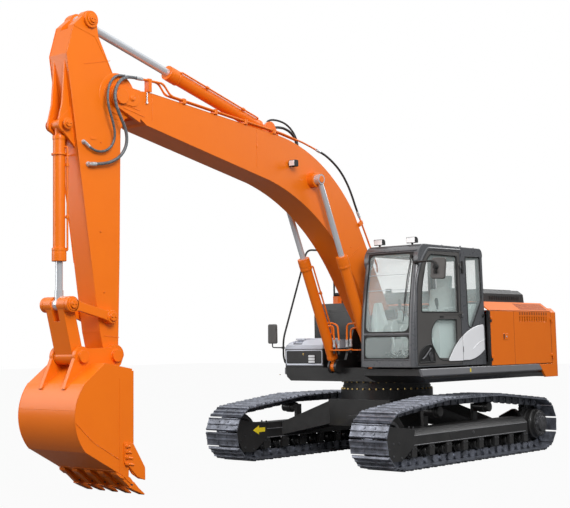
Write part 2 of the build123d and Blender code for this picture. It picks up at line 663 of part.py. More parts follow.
def engine_hood():
    low = COVER_TOP + 2 * GAP
    outer = Face(Wire.make_polygon([
        Vector(HOOD_REAR, y, z) for y, z in (
            (-HOOD_HALF, low), (HOOD_HALF, low), (HOOD_HALF - 15, HOOD_TOP - 60),
            (HOOD_HALF - 75, HOOD_TOP), (-HOOD_HALF + 75, HOOD_TOP), (-HOOD_HALF + 15, HOOD_TOP - 60))],
        close=True))
    block = Solid.extrude(outer, Vector(HOOD_FRONT - HOOD_REAR, 0, 0))
    slope = outline((HOOD_REAR - 10, HOOD_TOP - 90), (HOOD_REAR + 60, HOOD_TOP + 10), (HOOD_REAR - 10, HOOD_TOP + 10))
    block = block - slab(slope, -HOOD_HALF - 10, HOOD_HALF + 10)
    slope = outline((HOOD_FRONT + 10, HOOD_TOP - 90), (HOOD_FRONT - 60, HOOD_TOP + 10), (HOOD_FRONT + 10, HOOD_TOP + 10))
    block = block - slab(slope, -HOOD_HALF - 10, HOOD_HALF + 10)
    inside = box(HOOD_REAR + HOOD_T, HOOD_FRONT - HOOD_T, -HOOD_HALF + 3 * HOOD_T, HOOD_HALF - 3 * HOOD_T,
                 COVER_TOP, HOOD_TOP - 3 * HOOD_T)
    block = block - inside
    for y in HOOD_HINGE_Y:
        strap = box(HOOD_FRONT - 2, HOOD_HINGE[0], y, y + KNUCKLE_LENGTH, HOOD_HINGE[1] - 3, HOOD_HINGE[1] + 9)
        block = fuse(block, drum(HOOD_HINGE, KNUCKLE_R, y, y + KNUCKLE_LENGTH), strap)
    return block


def side_panel(side, x0, x1, hinge, reach, louvres=False):
    y = sorted((side * (HOUSE_HALF - DOOR_T), side * HOUSE_HALF))
    panel = box(x0, x1, y[0], y[1], DECK_TOP + PANEL_GAP, PANEL_TOP - PANEL_GAP)
    if louvres:
        count = 12
        step = (x1 - x0 - 260) / count
        for i in range(count):
            slot = x0 + 130 + step * i
            panel = panel - box(slot, slot + step * 0.5, y[0] - 1, y[1] + 1, PANEL_TOP - 165, PANEL_TOP - 85)
    return fuse(panel, *hinge_leaf(hinge, reach, side, SIDE_HINGE_Z))


def tanks():
    """Fuel tank in front, oil tank behind it, up to the covers."""
    out = -HOUSE_HALF + 10
    fuel = box(TANK_REAR, TANK_FRONT, out, TANK_IN, DECK_TOP, TANK_TOP)
    front_edge = outline((TANK_FRONT + 5, TANK_TOP - 110), (TANK_FRONT + 5, TANK_TOP + 5), (TANK_FRONT - 85, TANK_TOP + 5))
    fuel = fuel - slab(front_edge, out - 10, TANK_IN + 10)
    side_edge = Face(Wire.make_polygon([Vector(TANK_REAR - 10, y, z) for y, z in (
        (out - 5, TANK_TOP - 210), (out + 105, TANK_TOP + 5), (out - 5, TANK_TOP + 5))], close=True))
    fuel = fuel - Solid.extrude(side_edge, Vector(TANK_FRONT - TANK_REAR + 20, 0, 0))
    upright = [(TANK_FRONT - 50, out - 1), (TANK_FRONT + 1, out - 1), (TANK_FRONT + 1, out + 50)]
    face = Face(Wire.make_polygon([Vector(x, y, DECK_TOP - 1) for x, y in upright], close=True))
    fuel = fuel - Solid.extrude(face, Vector(0, 0, TANK_TOP - DECK_TOP + 10))
    oil = box(2 * TANK_REAR, TANK_REAR - 8, out, TANK_IN, DECK_TOP, PANEL_TOP - 8)
    return [fuel, oil]


def fuel_filler():
    """Filler neck and its cap on the fuel tank's top."""
    x, y = TANK_REAR + 80, -HOUSE_HALF + 170
    neck = box(x - 55, x + 55, y - 55, y + 55, TANK_TOP + GAP, TANK_TOP + 130)
    return neck + prism_up(x, y, 50, TANK_TOP + 129, TANK_TOP + 165)


def toolbox():
    low = 1120
    body = outline((TOOLBOX_REAR, DECK_TOP + GAP), (TOOLBOX_REAR + 40, low), (TOOLBOX_FRONT - 55, low),
                   (TOOLBOX_FRONT - 5, DECK_TOP - 6), (TOOLBOX_FRONT, TOOLBOX_SPLIT), (TOOLBOX_REAR, TOOLBOX_SPLIT))
    block = slab(body, TOOLBOX_OUT, TOOLBOX_IN)
    inside = box(TOOLBOX_REAR + WALL, TOOLBOX_FRONT - WALL + 5, TOOLBOX_OUT + WALL, TOOLBOX_IN - WALL,
                 DECK_TOP + 60, TOOLBOX_SPLIT + 10)
    deck_cut = box(TOOLBOX_REAR - 10, TOOLBOX_FRONT, -HOUSE_HALF - 1, TOOLBOX_IN + 10, low - 10, DECK_TOP + GAP)
    block = (block - inside) - deck_cut
    for y in LID_HINGE_Y:
        y0 = y + KNUCKLE_LENGTH + GAP
        y1 = y0 + KNUCKLE_LENGTH
        bracket = box(LID_HINGE[0] - 8, LID_HINGE[0] + 8, y0, y1, TOOLBOX_SPLIT - 50, LID_HINGE[1])
        foot = box(LID_HINGE[0] - 8, TOOLBOX_REAR + 2, y0, y1, TOOLBOX_SPLIT - 50, TOOLBOX_SPLIT - 10)
        block = fuse(block, drum(LID_HINGE, KNUCKLE_R, y0, y1), bracket, foot)
    return block


def toolbox_lid():
    """Lid with a slope in front, a bevelled outer edge and a grip pressed into its slope."""
    low = TOOLBOX_SPLIT + GAP + 0.2
    rear = TOOLBOX_REAR + 2
    front = TOOLBOX_FRONT + 7
    profile = outline((rear, low), (front, low), (front, low + 55), (front - 80, LID_TOP), (rear, LID_TOP))
    block = slab(profile, TOOLBOX_OUT - 2, TOOLBOX_IN + 2)
    bevel = Face(Wire.make_polygon([Vector(rear - 10, y, z) for y, z in (
        (TOOLBOX_OUT - 10, LID_TOP - 45), (TOOLBOX_OUT + 70, LID_TOP - 45), (TOOLBOX_OUT + 200, LID_TOP + 0.5),
        (TOOLBOX_OUT + 200, LID_TOP + 10), (TOOLBOX_OUT - 10, LID_TOP + 10))], close=True))
    edge = Face(Wire.make_polygon([Vector(rear - 10, y, z) for y, z in (
        (TOOLBOX_OUT - 10, low + 10), (TOOLBOX_OUT - 2, low + 10), (TOOLBOX_OUT + 71, LID_TOP - 44),
        (TOOLBOX_OUT - 10, LID_TOP - 44))], close=True))
    for cut in (bevel, edge):
        block = block - Solid.extrude(cut, Vector(front - rear + 20, 0, 0))
    grip = outline((front - 100, LID_TOP + 5), (front - 40, LID_TOP - 55), (front + 5, low + 60), (front + 5, LID_TOP + 5))
    block = block - slab(grip, TOOLBOX_OUT + 150, TOOLBOX_OUT + 330).moved(Location((-16, 0, -16)))
    inside = box(rear + WALL, front - WALL - 10, TOOLBOX_OUT + 80, TOOLBOX_IN - WALL, low - 10, LID_TOP - 60)
    block = block - inside
    for y in LID_HINGE_Y:
        strap = box(LID_HINGE[0], rear + 4, y, y + KNUCKLE_LENGTH, LID_HINGE[1] - 6, LID_HINGE[1] + 4)
        block = fuse(block, drum(LID_HINGE, KNUCKLE_R, y, y + KNUCKLE_LENGTH), strap)
    return block


# ---------------------------------------------------------------- cab
CAB_SIDE = ((CAB_REAR, CAB_FLOOR), (CAB_FRONT, CAB_FLOOR), ((CAB_FRONT - 50, 2100), (1095, 2780)),
            ((1060, 2950), (930, CAB_ROOF)), (-520, CAB_ROOF), ((-600, 3010), (CAB_REAR + 25, 2900)))
CAB_INSIDE = ((CAB_REAR + CAB_WALL, CAB_FLOOR + 60), (CAB_FRONT - CAB_WALL, CAB_FLOOR + 60),
              ((CAB_FRONT - 105, 2100), (1038, 2770)), ((1005, 2900), (920, CAB_ROOF - CAB_WALL)),
              (-510, CAB_ROOF - CAB_WALL), ((-540, 2970), (CAB_REAR + 25 + CAB_WALL, 2890)))
DOOR_EDGE = ((20, 1352), (1165, 1352), ((1158, 1900), (1128, 2300)), ((1060, 2650), (830, 2950)), (20, 2962))
DOOR_WINDOW = ((105, 2092), (1040, 2086), ((1020, 2400), (945, 2660)), ((880, 2810), (765, 2905)), (105, 2905))
DOOR_LOW_WINDOW = ((150, 1990), (560, 1990), ((790, 1860), (800, 1640)), (640, 1450), (330, 1440), (150, 1640))
REAR_WINDOW = ((-140, 2905), (-545, 2915), (-560, 2280), (-300, 1920), ((-230, 1870), (-165, 1950)))
RIGHT_WINDOW = ((-540, 2060), (1085, 2060), ((1075, 2400), (1000, 2700)), (900, 2900), (-540, 2900))


def cab_outside():
    outer = slab(outline(*CAB_SIDE), CAB_RIGHT, CAB_LEFT)
    upright = [e for e in outer.edges() if e.center().X > CAB_FRONT - 250 and e.bounding_box().size.Z > 600]
    return fillet(upright, 60)


def cab_shell():
    outer = cab_outside()
    inner = slab(outline(*CAB_INSIDE), CAB_RIGHT + CAB_WALL, CAB_LEFT - CAB_WALL)
    shell = outer - inner
    # windscreen, split from the lower front pane by the frame's low bar
    shell = shell - box(900, CAB_FRONT + 100, CAB_RIGHT + 75, CAB_LEFT - 75, 1800, 2925)
    shell = shell - box(900, CAB_FRONT + 100, CAB_RIGHT + 75, CAB_LEFT - 75, 1440, 1765)
    # rear window
    shell = shell - box(CAB_REAR - 20, CAB_REAR + 100, CAB_RIGHT + 90, CAB_LEFT - 90, 2250, 2880)
    # side openings
    shell = shell - slab(outline(*REAR_WINDOW), CAB_LEFT - 80, CAB_LEFT + 20)
    shell = shell - slab(outline(*RIGHT_WINDOW), CAB_RIGHT - 20, CAB_RIGHT + 80)
    shell = shell - slab(outline(*DOOR_EDGE), CAB_LEFT - 80, CAB_LEFT + 20)
    # roof hatch
    shell = shell - box(-150, 520, CAB_RIGHT + 180, CAB_LEFT - 180, CAB_ROOF - 100, CAB_ROOF + 20)
    return fuse(shell, *hinge_frame(CAB_HINGE, -50, 1, CAB_HINGE_Z))


def cab_glass():
    panes = []
    outer = slab(outline(*CAB_SIDE), CAB_RIGHT, CAB_LEFT)
    skin = outer - slab(outline(*CAB_SIDE), CAB_RIGHT - 10, CAB_LEFT + 10).moved(Location((-GLASS_T, 0, 0)))
    for low, high in ((1800, 2925), (1440, 1765)):
        window = box(900, CAB_FRONT + 100, CAB_RIGHT + 75, CAB_LEFT - 75, low, high)
        panes.append((skin & window).moved(Location((-14, 0, 0))))
    panes.append(box(CAB_REAR + 20, CAB_REAR + 20 + GLASS_T, CAB_RIGHT + 90, CAB_LEFT - 90, 2250, 2880))
    panes.append(slab(outline(*REAR_WINDOW), CAB_LEFT - 20 - GLASS_T, CAB_LEFT - 20))
    panes.append(slab(outline(*RIGHT_WINDOW), CAB_RIGHT + 20, CAB_RIGHT + 20 + GLASS_T))
    panes.append(box(-150, 520, CAB_RIGHT + 180, CAB_LEFT - 180, CAB_ROOF - 26, CAB_ROOF - 20))
    return panes


def cab_door():
    rim = offset(outline(*DOOR_EDGE), amount=-DOOR_GAP, kind=Kind.INTERSECTION)
    leaf = slab(rim.faces()[0], CAB_LEFT - CAB_DOOR_T, CAB_LEFT)
    leaf = leaf - slab(outline(*DOOR_WINDOW), CAB_LEFT - 80, CAB_LEFT + 20)
    leaf = leaf - slab(outline(*DOOR_LOW_WINDOW), CAB_LEFT - 80, CAB_LEFT + 20)
    return fuse(leaf, *hinge_leaf(CAB_HINGE, 60, 1, CAB_HINGE_Z))


def door_glass():
    y0 = CAB_LEFT - 24
    return [slab(outline(*DOOR_WINDOW), y0, y0 + GLASS_T), slab(outline(*DOOR_LOW_WINDOW), y0, y0 + GLASS_T)]


SEAT_X = 150.0
SEAT_Y = (CAB_LEFT + CAB_RIGHT) / 2
SEAT_TOP = 1900.0


def seat_cushion():
    return box(SEAT_X - 249.5, SEAT_X + 260, SEAT_Y - 240, SEAT_Y + 240, SEAT_TOP - 150 + GAP, SEAT_TOP)


def seat_back():
    profile = outline((SEAT_X - 250, SEAT_TOP - 60), (SEAT_X - 360, SEAT_TOP + 560), (SEAT_X - 470, SEAT_TOP + 560),
                      (SEAT_X - 380, SEAT_TOP - 60))
    back = slab(profile, SEAT_Y - 230, SEAT_Y + 230)
    rest = outline((SEAT_X - 372, SEAT_TOP + 560 + GAP), (SEAT_X - 400, SEAT_TOP + 760),
                   (SEAT_X - 480, SEAT_TOP + 760), (SEAT_X - 468, SEAT_TOP + 560 + GAP))
    return [back, slab(rest, SEAT_Y - 130, SEAT_Y + 130)]


def consoles():
    """Seat stand, the two consoles beside it, the levers on them and the two travel levers."""
    floor = CAB_FLOOR + 60 + GAP
    pieces = [box(SEAT_X - 230, SEAT_X + 230, SEAT_Y - 210, SEAT_Y + 210, floor, SEAT_TOP - 150)]
    for side in (-1, 1):
        y = sorted((SEAT_Y + side * 260, SEAT_Y + side * 380))
        console = box(SEAT_X - 260, SEAT_X + 330, y[0], y[1], floor, SEAT_TOP + 40)
        lever = prism(((SEAT_X + 235, SEAT_TOP + 39), (SEAT_X + 275, SEAT_TOP + 39), (SEAT_X + 310, SEAT_TOP + 230),
                       (SEAT_X + 270, SEAT_TOP + 230)), SEAT_Y + side * 302, SEAT_Y + side * 338)
        pieces.append(console + lever)
    for y in (-75, 75):
        pieces.append(prism(((920, floor), (945, floor), (1005, floor + 420), (980, floor + 420)),
                            SEAT_Y + y - 13, SEAT_Y + y + 13))
    return pieces


# ---------------------------------------------------------------- boom
def boom():
    foot_low = (FOOT[0] + 165, FOOT[1] - 95)
    body = outline(
        foot_low, (1120, 2727), ((1915, 3447), (2900, 3870)), (5181, 4332), (5480, 4545),
        (5480, 4720), BOOM_TOP_LINE[1], BOOM_TOP_LINE[0], BOOM_BACK, BOOM_FOOT_TOP)
    pieces = [slab(body, -BOOM_HALF, BOOM_HALF)]
    pieces.append(drum(FOOT, BOOM_FOOT_R, -BOOM_HALF, BOOM_HALF))
    pieces.append(drum(FOOT, 110, -BRACKET_IN + GAP, BRACKET_IN - GAP))
    # tip ears
    ear = outline((5280, 4350), (ARM_PIN[0] + 40, ARM_PIN[1] - BOOM_TIP_R + 6),
                  ((ARM_PIN[0] + BOOM_TIP_R, ARM_PIN[1]), (ARM_PIN[0] + 10, ARM_PIN[1] + BOOM_TIP_R - 1)),
                  (5280, 4745))
    pieces.append(slab(ear, -BOOM_HALF, BOOM_HALF))
    for side in (-1, 1):
        pieces.append(drum(ARM_PIN, 95, *sorted((side * BOOM_HALF, side * 250))))
        eye_in = BOOM_CYL_Y - BOOM_CYL_EYE - GAP
        pieces.append(drum(BOOM_CYL_ROD_PIN, 105, *sorted((side * (BOOM_HALF - 5), side * eye_in))))
        # ears of the arm cylinder's base
        lug = outline((2540, 4440), (3000, 4480), (ARM_CYL_BASE_PIN[0] + 75, ARM_CYL_BASE_PIN[1] + 75),
                      ((ARM_CYL_BASE_PIN[0], ARM_CYL_BASE_PIN[1] + 105), (ARM_CYL_BASE_PIN[0] - 90, ARM_CYL_BASE_PIN[1] + 50)))
        pieces.append(slab(lug, *sorted((side * (ARM_BARREL_R + 8), side * 122))))
        pieces.append(drum(ARM_CYL_BASE_PIN, 62, *sorted((side * (ARM_CYL_EYE + GAP), side * 122))))
    # sockets on the boom's back where the arm cylinder's hoses go in
    for route in (ARM_HOSE_THICK, ARM_HOSE_THIN):
        x, y, z = route[-1]
        pieces.append(box(x - 24, x + 24, y - 24, y + 24, boom_back(x - 24) - 10, z - GAP))
    solid = fuse(*pieces)
    # slot for the arm's hub
    solid = solid - drum(ARM_PIN, SLOT_R, -FORK_IN, FORK_IN)
    solid = solid - box(ARM_PIN[0] - 60, ARM_PIN[0] + 300, -FORK_IN, FORK_IN, 4000, 5200)
    return solid


def boom_top(x):
    """Height of the boom's top plate on its straight front stretch."""
    (x0, z0), (x1, z1) = BOOM_TOP_LINE
    return z0 + (x - x0) * (z1 - z0) / (x1 - x0)


def boom_back(x):
    """Height of the boom's rounded back above a place x."""
    (ax, az), (bx, bz), (cx, cz) = BOOM_TOP_LINE[0], *BOOM_BACK
    d = 2 * (ax * (bz - cz) + bx * (cz - az) + cx * (az - bz))
    a, b, c = ax ** 2 + az ** 2, bx ** 2 + bz ** 2, cx ** 2 + cz ** 2
    ox = (a * (bz - cz) + b * (cz - az) + c * (az - bz)) / d
    oz = (a * (cx - bx) + b * (ax - cx) + c * (bx - ax)) / d
    return oz + math.sqrt((ax - ox) ** 2 + (az - oz) ** 2 - (x - ox) ** 2)


def boom_pipes():
    """The bucket cylinder's two pipes along the boom's top left, held by clamp blocks, and the pipe
    beside the boom's foot.  A hose joins them round the boom's back."""
    inner, outer = PIPE_Y
    rise = boom_top(2650) + PIPE_RISE
    long_pipe = tube([(BACK_HOSE[0][0] + GAP, outer, BACK_HOSE[0][2]), (2150, outer, 4462), (2650, outer, rise),
                      (4770, outer, boom_top(4770) + PIPE_RISE), (4900, outer, BUCKET_HOSE_LOW[0][2]),
                      (BUCKET_HOSE_LOW[0][0] - GAP, outer, BUCKET_HOSE_LOW[0][2])],
                     PIPE_R, (400, 400, 90, 90))
    short_pipe = tube([(2300, inner, 4490), (2650, inner, rise),
                       (4830, inner, boom_top(4830) + PIPE_RISE), (4950, inner, BUCKET_HOSE_HIGH[0][2]),
                       (BUCKET_HOSE_HIGH[0][0] - GAP, inner, BUCKET_HOSE_HIGH[0][2])],
                      PIPE_R, (180, 90, 90))
    pieces = [long_pipe, short_pipe]
    for x in CLAMP_X:
        block = outline((x - 26, boom_top(x - 26) + GAP), (x + 26, boom_top(x + 26) + GAP),
                        (x + 26, boom_top(x + 26) + PIPE_RISE + 20), (x - 26, boom_top(x - 26) + PIPE_RISE + 20))
        pieces.append(slab(block, inner - 20, outer + 20))
    post_x = 5135
    pieces.append(box(post_x - 25, post_x + 25, inner - 20, outer + 20, boom_top(post_x + 25) + 3, 4912))
    # the pipe beside the foot runs along the straight back
    foot_pipe = tube([boom_foot_back(FOOT_PIPE[0], PIPE_OFF, outer), boom_foot_back(FOOT_PIPE[1], PIPE_OFF, outer),
                      boom_foot_back(FOOT_PIPE[1] + 90, PIPE_OFF - 45, outer)], PIPE_R, (60,))
    for along in (FOOT_PIPE[0] + 120, FOOT_PIPE[1] - 200):
        corners = [boom_foot_back(along + a, off, 0) for a, off in (
            (-28, GAP), (28, GAP), (28, PIPE_OFF + 18), (-28, PIPE_OFF + 18))]
        block = prism([(x, z) for x, _, z in corners], outer - 18, outer + 18)
        foot_pipe = fuse(foot_pipe, block)
    return [fuse(*pieces), foot_pipe]


def boom_foot_back(along, off, y):
    """Place beside the boom's straight back, measured down it from the end of its round stretch."""
    (x0, z0), (x1, z1) = BOOM_BACK[1], BOOM_FOOT_TOP
    length = math.dist(BOOM_BACK[1], BOOM_FOOT_TOP)
    dx, dz = (x1 - x0) / length, (z1 - z0) / length
    return x0 + dx * along + dz * off, y, z0 + dz * along - dx * off


def boom_lamp():
    return box(2420, 2510, BOOM_HALF + GAP, BOOM_HALF + 125, 4085, 4185)


# free hoses: points along each one's middle, chosen by hand
BUCKET_HOSE_LOW = ((5286, 214, 4891), (5410, 214, 4891), (5536, 226, 4870), (5650, 252, 4806), (5735, 280, 4712),
                   (5772, 296, 4604), (5756, 300, 4494), (5694, 296, 4382), (5612, 286, 4270), (5552, 272, 4150),
                   (5552, 256, 4020), (5624, 238, 3900), (5748, 220, 3822), (5894, 208, 3784), (6040, 202, 3770))
BUCKET_HOSE_HIGH = ((5448, 176, 4898), (5546, 176, 4898), (5642, 190, 4880), (5730, 214, 4828), (5804, 240, 4742),
                    (5846, 258, 4640), (5854, 266, 4536), (5830, 266, 4434), (5780, 258, 4330), (5728, 244, 4226),
                    (5704, 228, 4122), (5732, 214, 4022), (5812, 203, 3952), (5920, 196, 3926), (6030, 192, 3946),
                    (6120, 190, 4010))
BACK_HOSE = ((1850, 214, 4390), (1716, 214, 4358), (1576, 209, 4306), (1436, 204, 4236), (1302, 201, 4146),
             (1192, 201, 4036), (1104, 204, 3916), (1036, 209, 3790), (977, 214, 3658.5), (900.8, 214, 3529.4))
ARM_HOSE_THICK = ((2674, 28, 4628), (2575, 28, 4655), (2470, 28, 4670), (2360, 28, 4670), (2255, 28, 4645),
                  (2165, 28, 4600), (2108, 28, 4530), (2084, 28, 4455), (2084, 28, 4385))
ARM_HOSE_THIN = ((2709, -28, 4670), (2660, -28, 4735), (2580, -28, 4770), (2480, -28, 4780), (2375, -28, 4776),
                 (2270, -28, 4758), (2175, -28, 4718), (2095, -28, 4660), (2035, -28, 4590), (1998, -28, 4510),
                 (1986, -28, 4430), (1986, -28, 4360))


# ---------------------------------------------------------------- arm
def arm():
    body = outline(
        (6284, 5393), (6384, 5036), (5865, 1850), (TIP_PIN[0] + 120, TIP_PIN[1] + 40),
        (TIP_PIN[0] - 100, TIP_PIN[1] + 40), (5562, 2700), (5550, 4235), (5403, 4535),
        ((5380, 4632), (5450, 4790)), (5676, 4900), (5905, 5315), (5935, 5496),
        ((6020, 5597), (6145, 5520)))
    pieces = [slab(body, -ARM_HALF, ARM_HALF)]
    pieces.append(drum(ARM_PIN, ARM_HUB_R, -FORK_IN + GAP, FORK_IN - GAP))
    pieces.append(drum(TIP_PIN, ARM_TIP_R, -EAR_IN + GAP, EAR_IN - GAP))
    pieces.append(drum(ROCKER_PIN, 82, -ROCKER_IN + GAP, ROCKER_IN - GAP))
    solid = fuse(*pieces)
    # open top between the two ears for the arm cylinder's rod eye
    slot = outline((6030, 5150), (6290, 5330), (6400, 5700), (5800, 5700), (5700, 4980), (5880, 4980))
    solid = solid - slab(slot, -ARM_CYL_EYE - 6, ARM_CYL_EYE + 6)
    # ears of the bucket cylinder's base
    pin_x, pin_z = BUCKET_CYL_PIN
    lug = outline((6180, 3930), (6240, 4480), (pin_x + 30, pin_z + 92), ((pin_x + 95, pin_z), (pin_x + 20, pin_z - 95)))
    for side in (-1, 1):
        solid = solid + slab(lug, *sorted((side * (BUCKET_BARREL_R + 6), side * 108)))
        solid = solid + drum(BUCKET_CYL_PIN, 58, *sorted((side * (BUCKET_CYL_EYE + GAP), side * 108)))
        solid = solid + drum(ARM_CYL_ROD_PIN, 100, *sorted((side * (ARM_CYL_EYE + GAP), side * 190)))
    return solid


# ---------------------------------------------------------------- bucket
SHELL = ((5672, 1423), (6076, 1496), (6380, 1273), ((6510, 890), (6350, 535)), (5725, 197))


def bucket():
    inside = ((5660, 1423 - SHELL_T), (6070, 1496 - SHELL_T - 2), (6366, 1253), ((6486, 890), (6332, 556)),
              (5725 - 12, 197 + SHELL_T - 4))
    outer = slab(outline(*SHELL), -BUCKET_HALF, BUCKET_HALF)
    inner = slab(outline(*inside, (5500, 200), (5500, 1400)), -BUCKET_HALF + SIDE_PLATE_T, BUCKET_HALF - SIDE_PLATE_T)
    pieces = [outer - inner]
    plate = outline((5650, 1400), (5650, 540), (5470, 290), (5470, 170), (5560, 190), (5660, 250), (5720, 330), (5720, 1400))
    for side in (-1, 1):
        pieces.append(slab(plate, *sorted((side * (BUCKET_HALF - SIDE_PLATE_T), side * BUCKET_HALF))))
        # ear plate
        ear = outline(
            (5600, 1470), (TIP_PIN[0] - 128, TIP_PIN[1]), ((TIP_PIN[0], TIP_PIN[1] + 128), (TIP_PIN[0] + 90, TIP_PIN[1] + 91)),
            (LINK_PIN[0] - 70, LINK_PIN[1] + 88), ((LINK_PIN[0] + 80, LINK_PIN[1] + 80), (LINK_PIN[0] + 110, LINK_PIN[1] - 20)),
            (6440, 1215), (6370, 1260), (6076, 1480), (5680, 1405))
        pieces.append(slab(ear, *sorted((side * EAR_IN, side * EAR_OUT))))
        for pin in (TIP_PIN, LINK_PIN):
            pieces.append(drum(pin, 70, *sorted((side * EAR_OUT, side * 262))))
    # lip
    lip = outline((5735, 180), (5800, 238), (5790, 260), (5700, 215), (5610, 115), (5625, 100))
    pieces.append(slab(lip, -BUCKET_HALF, BUCKET_HALF))
    return fuse(*pieces)


def teeth():
    pieces = []
    for i in range(TOOTH_COUNT):
        y = (i - (TOOTH_COUNT - 1) / 2) * (2 * BUCKET_HALF - 90) / (TOOTH_COUNT - 1)
        tooth = outline((5605, 150), (5485, 15), (5640, 62), (5612, 98 - GAP))
        pieces.append(slab(tooth, y - 38, y + 38))
    return pieces


# ---------------------------------------------------------------- linkage and cylinders
def rocker_links():
    pieces = []
    for side in (-1, 1):
        face = outline(*capsule(ROCKER_PIN, TOP_PIN, 78, 88))
        bar = slab(face, *sorted((side * ROCKER_IN, side * ROCKER_OUT)))
        pieces.append(bar)
    return pieces


def capsule(a, b, ra, rb):
    """Steps of a bar outline with round ends of two radii."""
    length = math.dist(a, b)
    ux, uz = (b[0] - a[0]) / length, (b[1] - a[1]) / length
    nx, nz = -uz, ux
    return ((a[0] + nx * ra, a[1] + nz * ra), ((a[0] - ux * ra, a[1] - uz * ra), (a[0] - nx * ra, a[1] - nz * ra)),
            (b[0] - nx * rb, b[1] - nz * rb), ((b[0] + ux * rb, b[1] + uz * rb), (b[0] + nx * rb, b[1] + nz * rb)))


def bucket_link():
    neck = outline(*capsule(LINK_PIN, TOP_PIN, 80, 80))
    body = slab(neck, -150, 150)
    solid = fuse(body, drum(TOP_PIN, 88, -ROCKER_IN + GAP, ROCKER_IN - GAP),
                 drum(LINK_PIN, 92, -EAR_IN + GAP, EAR_IN - GAP))
    half = BUCKET_CYL_EYE + GAP
    solid = solid - drum(TOP_PIN, 130, -half, half)
    notch = box(TOP_PIN[0] - 200, TOP_PIN[0] + 200, -half, half, TOP_PIN[1] - 190, TOP_PIN[1] + 200)
    return solid - notch


def cylinder_parts(base, eye, y, barrel_r, rod_r, barrel_length, eye_half, stroke_in):
    """Barrel with its base eye, and rod with its eye, as two solids.
    stroke_in is how far the rod can still go in from here."""
    eye_r = barrel_r - 4
    neck_r = eye_half * 0.95

    def round_bar(start, end, radius):
        a = toward(base, eye, start)
        b = toward(base, eye, end)
        return rod((a[0], y, a[1]), (b[0], y, b[1]), radius)

    length = math.dist(base, eye)
    barrel = fuse(
        round_bar(0, 150, neck_r), round_bar(132, barrel_length, barrel_r),
        round_bar(barrel_length - 150, barrel_length, barrel_r + 12), drum(base, eye_r, y - eye_half, y + eye_half))
    barrel = barrel - round_bar(200, barrel_length + 10, rod_r + GAP)
    piston = fuse(
        round_bar(220 + stroke_in, length - 110, rod_r), round_bar(length - 160, length - 30, neck_r),
        drum(eye, eye_r, y - eye_half, y + eye_half))
    return barrel, piston


# ---------------------------------------------------------------- small outside pieces
RAIL_R = 15.0
RAIL_Y = -HOUSE_HALF - RAIL_R
RAIL_FRONT = TOOLBOX_FRONT - 5
RAIL_TOP = 3160.0


def handrails():
    """Rail from the toolbox's side up and back to the fuel tank's top."""
    foot_y = TOOLBOX_OUT - GAP - 2
    tank_y = -HOUSE_HALF + 135
    back = TANK_REAR + 215
    return [tube([(RAIL_FRONT - 40, foot_y, 1380), (RAIL_FRONT - 40, RAIL_Y, 1380), (RAIL_FRONT, RAIL_Y, 1470),
                  (RAIL_FRONT, RAIL_Y, 1740), (75, RAIL_Y, RAIL_TOP), (back, tank_y, RAIL_TOP),
                  (back, tank_y, TANK_TOP + GAP)], RAIL_R, (16, 40, 150, 110, 80))]


def mirrors():
    """Left mirror on the cab's front pillar, right mirror on the handrail."""
    arm_z = 2780
    left_arm = rod((1085, CAB_LEFT - 60, arm_z - 10), (1163, CAB_LEFT + 245, arm_z), 11) - cab_outside()
    left = box(1146, 1180, CAB_LEFT + 240, CAB_LEFT + 430, 2545, 2805)
    x = RAIL_FRONT + 225
    rail_face = RAIL_FRONT + 0.9 * RAIL_R
    right_arm = tube([(rail_face + GAP, RAIL_Y, 1610), (x, RAIL_Y - 30, 1616), (x, RAIL_Y - 30, 1680)], 9, 25)
    right = box(x - 18, x + 18, RAIL_Y - 115, RAIL_Y + 70, 1672, 1975)
    return [left_arm + left, right_arm + right]


def cab_lamps():
    pieces = []
    for y in (CAB_RIGHT + 165, CAB_LEFT - 192):
        pieces.append(box(895, 975, y - 80, y + 80, CAB_ROOF + GAP, CAB_ROOF + 105))
    return pieces


def exhaust():
    return prism_up(-1700, -HOOD_HALF - 110, 55, COVER_TOP + GAP, COVER_TOP + 300)


